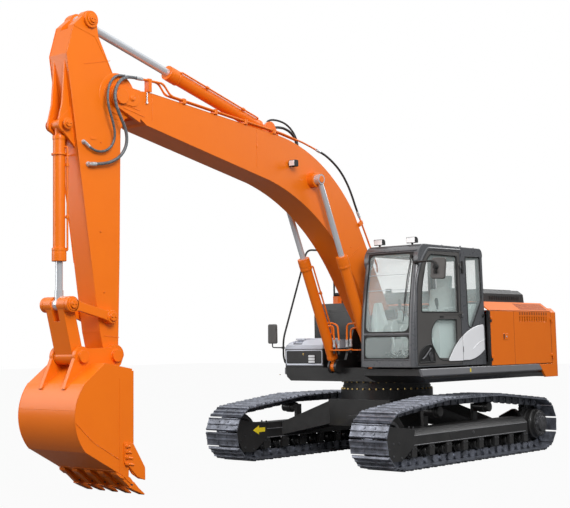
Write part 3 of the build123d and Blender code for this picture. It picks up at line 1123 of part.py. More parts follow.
# ---------------------------------------------------------------- the nodes
def build():
    for side, word in ((1, "left"), (-1, "right")):
        node("track_" + word, track(side))
        node("track_frame_" + word, track_frame(side))
    node("idlers", idler(1), idler(-1))
    node("sprockets", sprocket(1), sprocket(-1))
    rollers = []
    for side in (1, -1):
        rollers += [lower_roller(side, x) for x in roller_places()]
        rollers += [carrier_roller(side, x) for x in CARRIER_X]
    node("track_rollers", rollers)
    node("lower_frame", lower_frame())
    node("tow_plates", tow_plates())
    node("swing_bearing", post(0, 0, BEARING_R, HUB_TOP, BEARING_SPLIT))

    node("house_frame", house_frame())
    node("boom_brackets", boom_brackets())
    node("cover_posts", cover_posts())
    node("side_sills", sill(1), sill(-1))
    node("counterweight", counterweight())
    node("lifting_bosses", lifting_bosses())
    node("engine_block", box(CW_FRONT + 225, -1330, -880, 700, ENGINE_LOW + GAP, 2090))
    node("top_cover", cover())
    node("engine_hood", engine_hood())
    node("left_front_door", side_panel(1, PANEL_SPLIT + 3, PILLAR[0] - 6, SIDE_HINGE, -50))
    node("left_rear_door", side_panel(1, CW_FRONT + 8, PANEL_SPLIT - 3, CW_HINGE, 50, louvres=True))
    node("right_rear_door", side_panel(-1, CW_FRONT + 8, PANEL_SPLIT + 60, CW_HINGE, 50, louvres=True))
    node("side_tanks", tanks())
    node("fuel_filler", fuel_filler())
    node("toolbox", toolbox())
    node("toolbox_lid", toolbox_lid())

    node("cab_shell", cab_shell())
    node("cab_glass", cab_glass())
    node("cab_door", cab_door())
    node("cab_door_glass", door_glass())
    node("seat_cushion", seat_cushion())
    node("seat_back", seat_back())
    node("cab_consoles", consoles())
    node("cab_lamps", cab_lamps())
    node("mirrors", mirrors())
    node("handrails", handrails())
    node("exhaust_pipe", exhaust())

    node("boom", boom())
    node("boom_pipes", boom_pipes())
    node("boom_lamp", boom_lamp())
    node("bucket_hose_low", hose(BUCKET_HOSE_LOW, HOSE_R[0]))
    node("bucket_hose_high", hose(BUCKET_HOSE_HIGH, HOSE_R[1]))
    node("back_hose", hose(BACK_HOSE, 16))
    node("arm_hose_thick", hose(ARM_HOSE_THICK, 18))
    node("arm_hose_thin", hose(ARM_HOSE_THIN, 14))
    node("arm", arm())
    node("bucket", bucket())
    node("bucket_teeth", teeth())
    node("rocker_links", rocker_links())
    node("bucket_link", bucket_link())

    barrels = []
    rods = []
    for side in (1, -1):
        barrel, piston = cylinder_parts(BOOM_CYL_BASE_PIN, BOOM_CYL_ROD_PIN, side * BOOM_CYL_Y,
                                        BOOM_BARREL_R, BOOM_CYL_EYE - 1, 1720, BOOM_CYL_EYE, 910)
        barrels.append(barrel)
        rods.append(piston)
    node("boom_cylinder_barrels", barrels)
    node("boom_cylinder_rods", rods)
    barrel, piston = cylinder_parts(ARM_CYL_BASE_PIN, ARM_CYL_ROD_PIN, 0, ARM_BARREL_R, 50, 1940, ARM_CYL_EYE, 1140)
    node("arm_cylinder_barrel", barrel)
    node("arm_cylinder_rod", piston)
    barrel, piston = cylinder_parts(BUCKET_CYL_PIN, TOP_PIN, 0, BUCKET_BARREL_R, 42, 1570, BUCKET_CYL_EYE, 330)
    node("bucket_cylinder_barrel", barrel)
    node("bucket_cylinder_rod", piston)


def whole_box():
    low = [1e9] * 3
    high = [-1e9] * 3
    for pieces in NODES.values():
        for piece in pieces:
            bounds = piece.bounding_box()
            for axis, (a, b) in enumerate(zip(bounds.min, bounds.max)):
                low[axis] = min(low[axis], a)
                high[axis] = max(high[axis], b)
    return low, high


def origin_shift():
    low, high = whole_box()
    return Location((-(low[0] + high[0]) / 2, -(low[1] + high[1]) / 2, -low[2]))


def export():
    os.makedirs("parts", exist_ok=True)
    shift = origin_shift()
    for name, pieces in NODES.items():
        solids = []
        for piece in pieces:
            solids.extend(piece.moved(shift).solids())
        export_step(Compound(children=solids), f"parts/{name}.step")
    return shift


build()
SHIFT = export()
print("origin shift", tuple(round(v, 3) for v in SHIFT.position))
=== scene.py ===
import json
import math

import bmesh
import bpy
from mathutils import Matrix, Vector


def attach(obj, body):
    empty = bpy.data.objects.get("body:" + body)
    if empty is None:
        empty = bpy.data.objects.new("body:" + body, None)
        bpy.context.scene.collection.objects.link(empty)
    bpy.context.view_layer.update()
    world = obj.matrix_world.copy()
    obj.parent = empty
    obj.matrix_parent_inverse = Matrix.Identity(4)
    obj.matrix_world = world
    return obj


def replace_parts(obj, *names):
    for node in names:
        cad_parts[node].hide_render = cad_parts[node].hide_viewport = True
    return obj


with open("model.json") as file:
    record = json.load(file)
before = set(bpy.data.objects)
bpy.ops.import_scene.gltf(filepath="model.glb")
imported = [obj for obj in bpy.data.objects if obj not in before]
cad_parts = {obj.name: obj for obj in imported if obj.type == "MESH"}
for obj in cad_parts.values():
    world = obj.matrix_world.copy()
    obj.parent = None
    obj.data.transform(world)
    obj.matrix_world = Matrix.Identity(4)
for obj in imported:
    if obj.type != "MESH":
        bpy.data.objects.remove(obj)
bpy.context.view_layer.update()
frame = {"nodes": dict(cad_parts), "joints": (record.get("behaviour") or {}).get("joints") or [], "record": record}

# Everything is placed from the swing axis: X forward, Y to the machine's left, Z up from the ground.
SWING = next(joint for joint in frame["joints"] if joint["name"] == "swing")["pos_m"]
ORIGIN = Vector((SWING[0], SWING[1], 0.0))
GAP = 0.0004


def at(x, y, z):
    """A point given from the swing axis at ground level, in the row frame."""
    return ORIGIN + Vector((x, y, z))


# ---------------------------------------------------------------- materials
def ramp(nodes, links, source, stops):
    """Colour ramp on a factor: stops are (position, colour)."""
    node = nodes.new("ShaderNodeValToRGB")
    links.new(source, node.inputs[0])
    elements = node.color_ramp.elements
    while len(elements) < len(stops):
        elements.new(0.5)
    for element, (position, colour) in zip(elements, stops):
        element.position = position
        element.color = (*colour, 1.0)
    return node.outputs[0]


def noise(nodes, links, scale, detail=3.0, roughness=0.5):
    place = nodes.new("ShaderNodeNewGeometry")
    node = nodes.new("ShaderNodeTexNoise")
    node.inputs["Scale"].default_value = scale
    node.inputs["Detail"].default_value = detail
    node.inputs["Roughness"].default_value = roughness
    links.new(place.outputs["Position"], node.inputs["Vector"])
    return node.outputs["Fac"]


def shaded(name, colour, dark=None, roughness=0.4, metallic=0.0, scale=3.0, grain=400.0, bump=0.02,
           coat=0.0, spread=0.08, specular=0.5, edge=0.0):
    """Procedural surface: colour drifts between two shades, roughness varies, fine grain is bump.
    edge rounds the corners' shading by that radius."""
    material = bpy.data.materials.new(name)
    material.use_nodes = True
    nodes = material.node_tree.nodes
    links = material.node_tree.links
    shader = nodes["Principled BSDF"]
    shader.inputs["Metallic"].default_value = metallic
    shader.inputs["Coat Weight"].default_value = coat
    shader.inputs["Coat Roughness"].default_value = 0.12
    shader.inputs["Specular IOR Level"].default_value = specular
    dark = dark or tuple(c * 0.8 for c in colour)
    drift = noise(nodes, links, scale, 5.0, 0.6)
    links.new(ramp(nodes, links, drift, ((0.35, dark), (0.65, colour))), shader.inputs["Base Color"])
    low = max(0.02, roughness - spread)
    high = min(1.0, roughness + spread)
    patches = noise(nodes, links, scale * 7.0, 4.0, 0.6)
    links.new(ramp(nodes, links, patches, ((0.3, (low,) * 3), (0.7, (high,) * 3))), shader.inputs["Roughness"])
    relief = nodes.new("ShaderNodeBump")
    relief.inputs["Strength"].default_value = bump
    relief.inputs["Distance"].default_value = 0.002
    links.new(noise(nodes, links, grain, 2.0, 0.5), relief.inputs["Height"])
    links.new(relief.outputs["Normal"], shader.inputs["Normal"])
    if edge:
        round_edge = nodes.new("ShaderNodeBevel")
        round_edge.samples = 4
        round_edge.inputs["Radius"].default_value = edge
        links.new(round_edge.outputs["Normal"], relief.inputs["Normal"])
    return material


def glass(name, colour, alpha):
    material = shaded(name, colour, roughness=0.03, spread=0.01, grain=60.0, bump=0.004, scale=1.0)
    shader = material.node_tree.nodes["Principled BSDF"]
    shader.inputs["Alpha"].default_value = alpha
    return material


MATERIALS = {
    "orange": shaded("orange_paint", (0.80, 0.165, 0.004), (0.785, 0.158, 0.004), 0.34, specular=0.36, coat=0.05,
                     bump=0.0, spread=0.03, edge=0.008),
    # painted shade: a darker copy of the orange paint, laid on slots, grille openings and panel gaps to stand for the
    # shade in them
    "painted_shade_orange": shaded("painted_shade_orange", (0.300, 0.060, 0.006), (0.270, 0.052, 0.005), 0.5, bump=0.0, spread=0.03),
    "black_paint": shaded("black_paint", (0.026, 0.025, 0.025), (0.017, 0.017, 0.017), 0.38, coat=0.22, edge=0.006),
    "frame_black": shaded("frame_black", (0.090, 0.093, 0.100), (0.083, 0.086, 0.093), 0.30, coat=0.30, bump=0.0,
                          spread=0.05, edge=0.012),
    "door_grey": shaded("door_grey", (0.080, 0.076, 0.073), (0.072, 0.068, 0.065), 0.42, coat=0.1, bump=0.0,
                        spread=0.05, edge=0.006),
    "grey_paint": shaded("grey_paint", (0.185, 0.185, 0.195), (0.170, 0.170, 0.180), 0.38, coat=0.2, bump=0.0,
                         spread=0.05, edge=0.006),
    # bevel_grey: pale blue-grey, partly the parts' own grey and partly a painted sky reflection, lightened so the
    # toolbox lid shows the sheen in its colour
    "bevel_grey": shaded("bevel_grey", (0.66, 0.69, 0.76), (0.62, 0.65, 0.72), 0.35, coat=0.2, bump=0.0,
                         spread=0.05, edge=0.006),
    "panel_silver": shaded("panel_silver", (0.83, 0.83, 0.85), (0.81, 0.81, 0.83), 0.35, 0.05, coat=0.3, bump=0.0,
                           spread=0.03, edge=0.006),
    "track_steel": shaded("track_steel", (0.24, 0.255, 0.300), (0.105, 0.110, 0.128), 0.32, 0.55, 9.0, 160.0,
                          0.2),
    "worn_steel": shaded("worn_steel", (0.24, 0.24, 0.25), (0.12, 0.12, 0.125), 0.38, 0.9, 14.0, 160.0, 0.2),
    "chrome_rod": shaded("chrome_rod", (0.66, 0.68, 0.71), (0.60, 0.62, 0.65), 0.16, 0.45, bump=0.0, spread=0.03),
    "fitting": shaded("zinc_fitting", (0.62, 0.63, 0.64), (0.52, 0.53, 0.54), 0.28, 0.5, 20.0, bump=0.0),
    "gold_bolt": shaded("passivated_bolt", (0.62, 0.46, 0.20), (0.48, 0.33, 0.12), 0.32, 0.9, 30.0),
    "rubber": shaded("black_rubber", (0.012, 0.012, 0.012), (0.008, 0.008, 0.008), 0.62, grain=700.0, bump=0.15),
    "hose": shaded("hose_cover", (0.165, 0.175, 0.185), (0.075, 0.082, 0.090), 0.45, 0.2, 40.0, 260.0, 0.5),
    "hose_black": shaded("hose_black", (0.022, 0.022, 0.023), (0.014, 0.014, 0.015), 0.5, 0.0, 40.0, 260.0, 0.4),
    "tinted_glass": glass("tinted_glass", (0.74, 0.85, 0.83), 0.165),
    "lens": shaded("lamp_lens", (0.88, 0.89, 0.90), (0.72, 0.73, 0.75), 0.12, grain=90.0, bump=0.35, coat=0.6),
    "mirror": shaded("mirror_glass", (0.80, 0.82, 0.84), (0.78, 0.80, 0.82), 0.04, 1.0, bump=0.0),
    "yellow": shaded("yellow_mark", (0.85, 0.66, 0.03), (0.80, 0.60, 0.02), 0.45),
    "seat_fabric": shaded("seat_fabric", (0.60, 0.70, 0.68), (0.52, 0.61, 0.59), 0.92, grain=900.0, bump=0.5),
    "cab_plastic": shaded("cab_plastic", (0.60, 0.70, 0.68), (0.52, 0.61, 0.59), 0.6, grain=1200.0, bump=0.2,
                          edge=0.01),
    "cab_dark": shaded("cab_dark", (0.035, 0.040, 0.040), (0.025, 0.028, 0.028), 0.6, grain=1200.0, bump=0.2),
}
# the toolbox lid takes bevel_grey, whose light colour holds a painted sky reflection
CAD_LOOKS = {"cab_shell": "frame_black", "cab_door": "door_grey", "toolbox_lid": "bevel_grey"}


def dress_cad():
    slots = {part["node"]: part["material_slot"] for part in frame["record"]["subparts"]}
    for name, piece in frame["nodes"].items():
        piece.data.materials.clear()
        look = CAD_LOOKS.get(name, slots[name])
        piece.data.materials.append(MATERIALS["hose_black" if look == "hose_rubber" else look])
        for polygon in piece.data.polygons:
            polygon.use_smooth = True
        piece.data.set_sharp_from_angle(angle=math.radians(24))


dress_cad()


# ---------------------------------------------------------------- shapes
class Form:
    """A mesh put together from simple shapes, in metres from the swing axis."""

    def __init__(self):
        self.mesh = bmesh.new()

    def box(self, low, high):
        low, high = Vector(low), Vector(high)
        size = high - low
        matrix = Matrix.Translation((low + high) / 2) @ Matrix.Diagonal((*size, 1.0))
        bmesh.ops.create_cube(self.mesh, size=1.0, matrix=matrix)
        return self

    def rod(self, start, end, radius, far=None, sides=24):
        start, end = Vector(start), Vector(end)
        turn = (end - start).to_track_quat("Z", "Y").to_matrix().to_4x4()
        matrix = Matrix.Translation((start + end) / 2) @ turn
        bmesh.ops.create_cone(self.mesh, cap_ends=True, segments=sides, radius1=radius,
                              radius2=radius if far is None else far, depth=(end - start).length, matrix=matrix)
        return self

    def bolt(self, place, normal, radius=0.014, height=0.010):
        """Hexagon head on a washer."""
        place, normal = Vector(place), Vector(normal).normalized()
        self.rod(place, place + normal * height * 0.3, radius * 1.35, sides=12)
        self.rod(place + normal * height * 0.3, place + normal * height, radius, radius * 0.9, sides=6)
        return self

    def prism(self, corners, axis, low, high):
        """Corners are (x, z) for axis Y, (y, z) for X and (x, y) for Z."""
        place = {"X": lambda a, b, t: (t, a, b), "Y": lambda a, b, t: (a, t, b),
                 "Z": lambda a, b, t: (a, b, t)}[axis]
        return self.loft([[place(a, b, t) for a, b in corners] for t in (low, high)])

    def plate(self, corners, radius, axis, low, high, steps=4):
        """A prism whose outline has rounded corners."""
        return self.prism(rounded_outline(corners, radius, steps), axis, low, high)

    def loft(self, rings):
        """Closed body through rings of as many points each."""
        rings = [[self.mesh.verts.new(point) for point in ring] for ring in rings]
        self.mesh.faces.new(rings[0])
        self.mesh.faces.new(list(reversed(rings[-1])))
        for first, second in zip(rings, rings[1:]):
            for i in range(len(first)):
                j = (i + 1) % len(first)
                self.mesh.faces.new((first[j], first[i], second[i], second[j]))
        return self

    def lathe(self, profile, base, axis=(0, 1, 0), sides=40):
        """Profile is (along, radius) from the base point; a radius of 0 closes the end."""
        base, axis = Vector(base), Vector(axis).normalized()
        across = axis.orthogonal().normalized()
        other = axis.cross(across)
        rings = []
        for distance, radius in profile:
            middle = base + axis * distance
            if radius == 0:
                rings.append([self.mesh.verts.new(middle)])
                continue
            rings.append([self.mesh.verts.new(
                middle + (across * math.cos(t) + other * math.sin(t)) * radius)
                for t in (math.tau * i / sides for i in range(sides))])
        for ring, after in zip(rings, rings[1:]):
            for i in range(sides):
                j = (i + 1) % sides
                if len(ring) == 1 and len(after) > 1:
                    self.mesh.faces.new((ring[0], after[j], after[i]))
                elif len(after) == 1 and len(ring) > 1:
                    self.mesh.faces.new((ring[i], ring[j], after[0]))
                elif len(ring) > 1:
                    self.mesh.faces.new((ring[i], ring[j], after[j], after[i]))
        return self

    def sweep(self, points, radius, sides=10):
        """Round bar along points."""
        points = [Vector(p) for p in points]
        rings = []
        across = None
        for i, point in enumerate(points):
            ahead = (points[min(i + 1, len(points) - 1)] - points[max(i - 1, 0)]).normalized()
            if across is None:
                across = ahead.orthogonal().normalized()
            across = (across - ahead * across.dot(ahead)).normalized()
            other = ahead.cross(across)
            rings.append([self.mesh.verts.new(point + (across * math.cos(t) + other * math.sin(t)) * radius)
                          for t in (math.tau * k / sides for k in range(sides))])
        for ring, after in zip(rings, rings[1:]):
            for i in range(sides):
                j = (i + 1) % sides
                self.mesh.faces.new((ring[i], ring[j], after[j], after[i]))
        self.mesh.faces.new(list(reversed(rings[0])))
        self.mesh.faces.new(rings[-1])
        return self

    def stamp(self, mesh, matrix):
        start = len(self.mesh.verts)
        self.mesh.from_mesh(mesh)
        self.mesh.verts.ensure_lookup_table()
        bmesh.ops.transform(self.mesh, matrix=matrix, verts=self.mesh.verts[start:])
        return self

    def template(self):
        mesh = bpy.data.meshes.new("template")
        self.mesh.to_mesh(mesh)
        self.mesh.free()
        return mesh

    def done(self, name, body, look, bevel=0.0, smooth=35.0, segments=2):
        bmesh.ops.recalc_face_normals(self.mesh, faces=self.mesh.faces)
        mesh = bpy.data.meshes.new(name)
        self.mesh.to_mesh(mesh)
        self.mesh.free()
        for polygon in mesh.polygons:
            polygon.use_smooth = True
        mesh.set_sharp_from_angle(angle=math.radians(smooth))
        mesh.materials.append(MATERIALS[look])
        piece = bpy.data.objects.new(name, mesh)
        piece.location = ORIGIN
        bpy.context.scene.collection.objects.link(piece)
        if bevel:
            rounding = piece.modifiers.new("edges", "BEVEL")
            rounding.width = bevel
            rounding.segments = segments
            rounding.limit_method = "ANGLE"
            rounding.angle_limit = math.radians(35)
            rounding.harden_normals = False
        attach(piece, body)
        return piece


def circle_through(a, b, c):
    """Centre and radius of the circle through three points of a plane."""
    (ax, az), (bx, bz), (cx, cz) = a, b, c
    d = 2 * (ax * (bz - cz) + bx * (cz - az) + cx * (az - bz))
    p, q, r = ax ** 2 + az ** 2, bx ** 2 + bz ** 2, cx ** 2 + cz ** 2
    ox = (p * (bz - cz) + q * (cz - az) + r * (az - bz)) / d
    oz = (p * (cx - bx) + q * (ax - cx) + r * (bx - ax)) / d
    return ox, oz, math.hypot(ax - ox, az - oz)


def arc(first, middle, last, count):
    """Points on the circle through three points of a plane, ends included."""
    ox, oz, radius = circle_through(first, middle, last)
    start, through, end = (math.atan2(z - oz, x - ox) for x, z in (first, middle, last))
    through = (through - start) % math.tau
    end = (end - start) % math.tau
    if through > end:
        end -= math.tau
    return [(ox + radius * math.cos(start + end * i / count), oz + radius * math.sin(start + end * i / count))
            for i in range(count + 1)]


def rect(x0, y0, x1, y1):
    return (x0, y0), (x1, y0), (x1, y1), (x0, y1)


def bend(before, corner, after, radius, steps):
    """Points of the curve that rounds one corner of a path."""
    back, ahead = before - corner, after - corner
    reach = min(radius, back.length * 0.45, ahead.length * 0.45)
    start = corner + back.normalized() * reach
    end = corner + ahead.normalized() * reach
    return [start * (1 - t) ** 2 + corner * 2 * t * (1 - t) + end * t ** 2
            for t in (i / steps for i in range(steps + 1))]


def rounded(points, radius, steps=5):
    """A path of straight runs with its corners rounded, for rigid pipes and rails."""
    points = [Vector(p) for p in points]
    path = [points[0]]
    for before, corner, after in zip(points, points[1:], points[2:]):
        path += bend(before, corner, after, radius, steps)
    return path + [points[-1]]


def rounded_outline(corners, radius, steps=4):
    """A closed outline of the plane with its corners rounded."""
    count = len(corners)
    outline = []
    for i in range(count):
        near = (Vector(corners[j % count]) for j in (i - 1, i, i + 1))
        outline += [tuple(point) for point in bend(*near, radius, steps)]
    return outline


def mirrored(half):
    """A wheel's whole profile from its half: (distance from the middle, radius)."""
    return [(-a, r) for a, r in half] + list(reversed(half))


# ---------------------------------------------------------------- tracks
TUMBLERS = 3.84
GAUGE = 2.59
SHOES = 51
PITCH_R = 0.320                # pin circle round idler and sprocket
TIP_V = 0.080                  # grouser tip, outward from the pin line
RAIL_V = 0.052                 # link rail, inward from the pin line
AXLE_Z = TIP_V + PITCH_R
CARRIERS = (0.73, -0.59)
ROLLER_X = [-1.5 + 3.0 * i / 7 for i in range(8)]
ROLLER_R = 0.074
SIDES = (("left", 1), ("right", -1))


def track_pins():
    """Link pins (x, z), spaced evenly: flat below, over the carrier rollers above."""
    half = TUMBLERS / 2
    low, high = TIP_V, 0.92 - TIP_V

    def lift_off(run):
        rise = high - AXLE_Z
        return math.acos(PITCH_R / math.hypot(run, rise)) + math.atan2(rise, run) - math.pi / 2

    front, rear = lift_off(half - CARRIERS[0]), lift_off(half + CARRIERS[1])

    def on_circle(x, angle):
        return x + PITCH_R * math.sin(angle), AXLE_Z + PITCH_R * math.cos(angle)

    path = [(-half, low), (half, low)]
    path += [on_circle(half, math.pi - (math.pi - front) * i / 200) for i in range(1, 201)]
    path += [(CARRIERS[0], high), (CARRIERS[1], high)]
    path += [on_circle(-half, -rear - (math.pi - rear) * i / 200) for i in range(201)]
    lengths = [math.dist(a, b) for a, b in zip(path, path[1:])]
    pitch = sum(lengths) / SHOES
    pins = []
    for i in range(SHOES):
        left = pitch * i
        for (a, b), length in zip(zip(path, path[1:]), lengths):
            if left <= length:
                pins.append(tuple(p + (q - p) * left / length for p, q in zip(a, b)))
                break
            left -= length
    return pins


PINS = track_pins()


def shoe_template():
    """One shoe in its link's own frame: X along the link, Z outward from the pins."""
    profile = ((-0.096, 0.048), (-0.092, 0.055), (-0.088, 0.079), (-0.079, 0.080), (-0.073, 0.057),
               (-0.012, 0.053), (-0.007, 0.076), (0.007, 0.076), (0.012, 0.053), (0.069, 0.057),
               (0.075, 0.079), (0.084, 0.080), (0.089, 0.056), (0.094, 0.049), (0.094, 0.040), (-0.096, 0.040))
    form = Form()
    form.loft([[(x, side * (0.300 if z < 0.06 else 0.284), z) for x, z in profile] for side in (-1, 1)])
    for side in (-1, 1):
        for x in (-0.042, 0.040):
            form.rod((x, side * 0.085, 0.052), (x, side * 0.085, 0.066), 0.017, sides=6)
        # the two halves of one rail link, offset where links join
        form.prism(((-0.110, 0.0), (-0.098, 0.028), (-0.060, 0.040), (0.025, 0.040), (0.025, -0.050),
                    (-0.060, -0.052), (-0.100, -0.030)), "Y", side * 0.062, side * 0.084)
        form.prism(((0.110, 0.0), (0.098, 0.028), (0.060, 0.040), (-0.025, 0.040), (-0.025, -0.050),
                    (0.060, -0.052), (0.100, -0.030)), "Y", side * 0.086, side * 0.108)
    form.rod((-0.095, -0.119, 0), (-0.095, 0.119, 0), 0.019, sides=10)
    form.rod((-0.095, -0.060, 0), (-0.095, 0.060, 0), 0.031, sides=12)
    bmesh.ops.recalc_face_normals(form.mesh, faces=form.mesh.faces)
    return form.template()


def tracks():
    shoe = shoe_template()
    for name, side in SIDES:
        form = Form()
        for here, ahead in zip(PINS, PINS[1:] + PINS[:1]):
            run = Vector((ahead[0] - here[0], 0, ahead[1] - here[1])).normalized()
            out = Vector((run.z, 0, -run.x))
            turn = Matrix((run, Vector((0, -1, 0)), out)).transposed().to_4x4()
            middle = Vector(((here[0] + ahead[0]) / 2, side * GAUGE / 2, (here[1] + ahead[1]) / 2))
            form.stamp(shoe, Matrix.Translation(middle) @ turn)
        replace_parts(form.done(f"track_shoes_{name}", "undercarriage", "track_steel", smooth=30), f"track_{name}")


def carrier_z(x):
    heights = []
    for a, b in zip(PINS, PINS[1:] + PINS[:1]):
        mx, mz = (a[0] + b[0]) / 2, (a[1] + b[1]) / 2
        length = math.dist(a, b)
        if mz > AXLE_Z and abs(mx - x) < 1.6 * length:
            out = ((b[1] - a[1]) / length, (a[0] - b[0]) / length)
            heights.append(mz - (out[0] * (x - mx) + RAIL_V + 0.0703) / out[1])
    return min(heights)


def wheels():
    half = TUMBLERS / 2
    tread = math.sqrt(PITCH_R ** 2 - (0.5 * math.dist(PINS[0], PINS[1])) ** 2) - RAIL_V - GAP
    idlers = Form()
    sprockets = Form()
    rollers = Form()
    bolts = Form()
    covers = Form()
    for _, side in SIDES:
        y = side * GAUGE / 2
        half_idler = ((0.15, 0), (0.15, 0.086), (0.113, 0.092), (0.070, 0.108), (0.070, tread - 0.055),
                      (0.112, tread - 0.048), (0.112, tread - 0.006), (0.106, tread), (0.056, tread),
                      (0.050, tread + 0.03))
        idlers.lathe(mirrored(half_idler), (half, y, AXLE_Z), sides=64)
        teeth = []
        for i in range(21):
            for step, radius in ((-0.5, 0.289), (-0.27, 0.293), (-0.14, 0.322), (-0.06, 0.333), (0.06, 0.333),
                                 (0.14, 0.322), (0.27, 0.293)):
                t = math.tau * (i + 0.5 + step) / 21
                teeth.append((-half + radius * math.sin(t), AXLE_Z + radius * math.cos(t)))
        sprockets.prism(teeth, "Y", y - 0.030, y + 0.030)
        drive = ((-0.23, 0), (-0.23, 0.18), (-0.215, 0.19), (-0.06, 0.19), (-0.06, 0.232), (0.060, 0.232),
                 (0.066, 0.222), (0.140, 0.222), (0.150, 0.205), (0.158, 0.200), (0.214, 0.196), (0.225, 0.180),
                 (0.229, 0.116), (0.255, 0.112), (0.262, 0.100), (0.262, 0))
        sprockets.lathe(drive, (-half, y, AXLE_Z), axis=(0, side, 0), sides=56)
        for i in range(14):
            t = math.tau * i / 14
            bolts.bolt((-half + 0.155 * math.cos(t), y + side * 0.2310, AXLE_Z + 0.155 * math.sin(t)),
                       (0, side, 0), 0.012, 0.014)
        # scalloped cover on the hub, one lobe to a bolt
        rim = []
        for i in range(84):
            t = math.tau * i / 84
            radius = 0.176 + 0.009 * math.cos(14 * t)
            rim.append((-half + radius * math.cos(t), AXLE_Z + radius * math.sin(t)))
        covers.prism(rim, "Y", y + side * 0.2250, y + side * 0.2312)
        covers.lathe(((0.0, 0.118), (0.036, 0.114), (0.043, 0.100), (0.043, 0.0)), (-half, y + side * 0.2240, AXLE_Z),
                     axis=(0, side, 0), sides=48)
        for i in range(18):
            t = math.tau * (i + 0.5) / 18
            bolts.bolt((-half + 0.262 * math.cos(t), y + side * 0.030, AXLE_Z + 0.262 * math.sin(t)),
                       (0, side, 0), 0.013, 0.014)
        half_roller = ((0.149, 0), (0.149, 0.036), (0.126, 0.040), (0.125, 0.068), (0.119, ROLLER_R),
                       (0.057, ROLLER_R), (0.053, 0.088), (0.036, 0.088), (0.030, 0.060))
        for x in ROLLER_X:
            rollers.lathe(mirrored(half_roller), (x, y, TIP_V + RAIL_V + ROLLER_R + GAP), sides=32)
        half_carrier = ((0.125, 0), (0.125, 0.056), (0.119, 0.070), (0.050, 0.070), (0.046, 0.082), (0.0, 0.082))
        profile = [(-a, r) for a, r in half_carrier] + list(reversed(half_carrier[:-1]))
        for x in CARRIERS:
            rollers.lathe(profile, (x, y, carrier_z(x)), sides=32)
    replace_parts(idlers.done("idler_wheels", "undercarriage", "worn_steel"), "idlers")
    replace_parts(sprockets.done("sprocket_wheels", "undercarriage", "black_paint"), "sprockets")
    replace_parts(rollers.done("rollers", "undercarriage", "black_paint"), "track_rollers")
    covers.done("hub_covers", "undercarriage", "worn_steel", smooth=40)
    bolts.done("final_drive_bolts", "undercarriage", "worn_steel")


def frame_details():
    """Bolts on the idler covers and beside the roller shafts, small plates, edge lines, and the weld lines of the
    frames.
    """
    bolts = Form()
    caps = Form()
    edges = Form()
    welds = Form()
    marks = Form()
    for _, side in SIDES:
        for face in (-1, 1):
            y = side * GAUGE / 2 + face * 0.190
            out = (0, face, 0)
            for x, z in ((1.52, 0.545), (1.62, 0.555), (1.85, 0.36), (1.98, 0.36), (1.62, 0.20), (1.80, 0.165),
                         (1.98, 0.20), (2.08, 0.30)):
                bolts.bolt((x, y, z), out, 0.012, 0.010)
            for x in ROLLER_X:
                for dx in (-0.038, 0.038):
                    bolts.bolt((x + dx, y, 0.268), out, 0.011, 0.012)
            for z in (0.312, 0.436):
                edges.sweep([(-1.5, y + face * 0.001, z), (1.5, y + face * 0.001, z)], 0.0060, 6)
            caps.plate(rect(0.36, 0.345, 0.62, 0.425), 0.015, "Y", y, y + face * 0.004)
        # grease valve cover on the outer face and the direction arrow on the idler cover
        y = side * (GAUGE / 2 + 0.190)
        marks_y = side * GAUGE / 2 - side * 0.190
        arrow = ((1.814, 0.433), (1.680, 0.496), (1.680, 0.461), (1.547, 0.461), (1.547, 0.399), (1.680, 0.399),
                 (1.680, 0.364))
        marks.prism(arrow, "Y", marks_y, marks_y - side * 0.0015)
        bolts.bolt((0.0, y, 0.39), (0, side, 0), 0.02, 0.012)
    # weld seams along the four legs of the lower frame, and cover plate bolts under its middle
    for front in (-1, 1):
        for side in (-1, 1):
            for dx_in, dx_out in ((-0.30, -0.26), (0.30, 0.26)):
                welds.sweep([(front * 0.42 + dx_in, side * 0.54, 0.815), (front * 0.90 + dx_out, side * 1.104, 0.510)],
                            0.006, 6)
    for i in range(8):
        t = math.tau * i / 8
        bolts.bolt((0.30 * math.cos(t), 0.30 * math.sin(t), 0.460), (0, 0, -1), 0.014, 0.012)
    bolts.done("frame_bolts", "undercarriage", "worn_steel")
    caps.done("frame_plates", "undercarriage", "black_paint", bevel=0.001)
    edges.done("frame_edges", "undercarriage", "grey_paint", smooth=50)
    welds.done("frame_welds", "undercarriage", "black_paint")
    marks.done("travel_arrows", "undercarriage", "yellow")


def bearing_bolts():
    """Two rows of bolts round the swing bearing: one up through its lower ring, one down from the floor."""
    for name, body, radius, z, normal, count in (
        ("bearing_bolts_low", "undercarriage", 0.674, 0.985, 1, 40),
        ("bearing_bolts_high", "house", 0.668, 1.107, -1, 36),
    ):
        form = Form()
        for i in range(count):
            t = math.tau * (i + 0.5) / count
            form.bolt((radius * math.cos(t), radius * math.sin(t), z), (0, 0, normal), 0.013, 0.022)
        form.done(name, body, "gold_bolt")


tracks()
wheels()
frame_details()
bearing_bolts()


# ---------------------------------------------------------------- cab
GLASS_Y = (0.515, 1.285)
CAB_MIDDLE = 0.900
RAIL_Y = -1.440                # handrail on the right side, which carries the right mirror


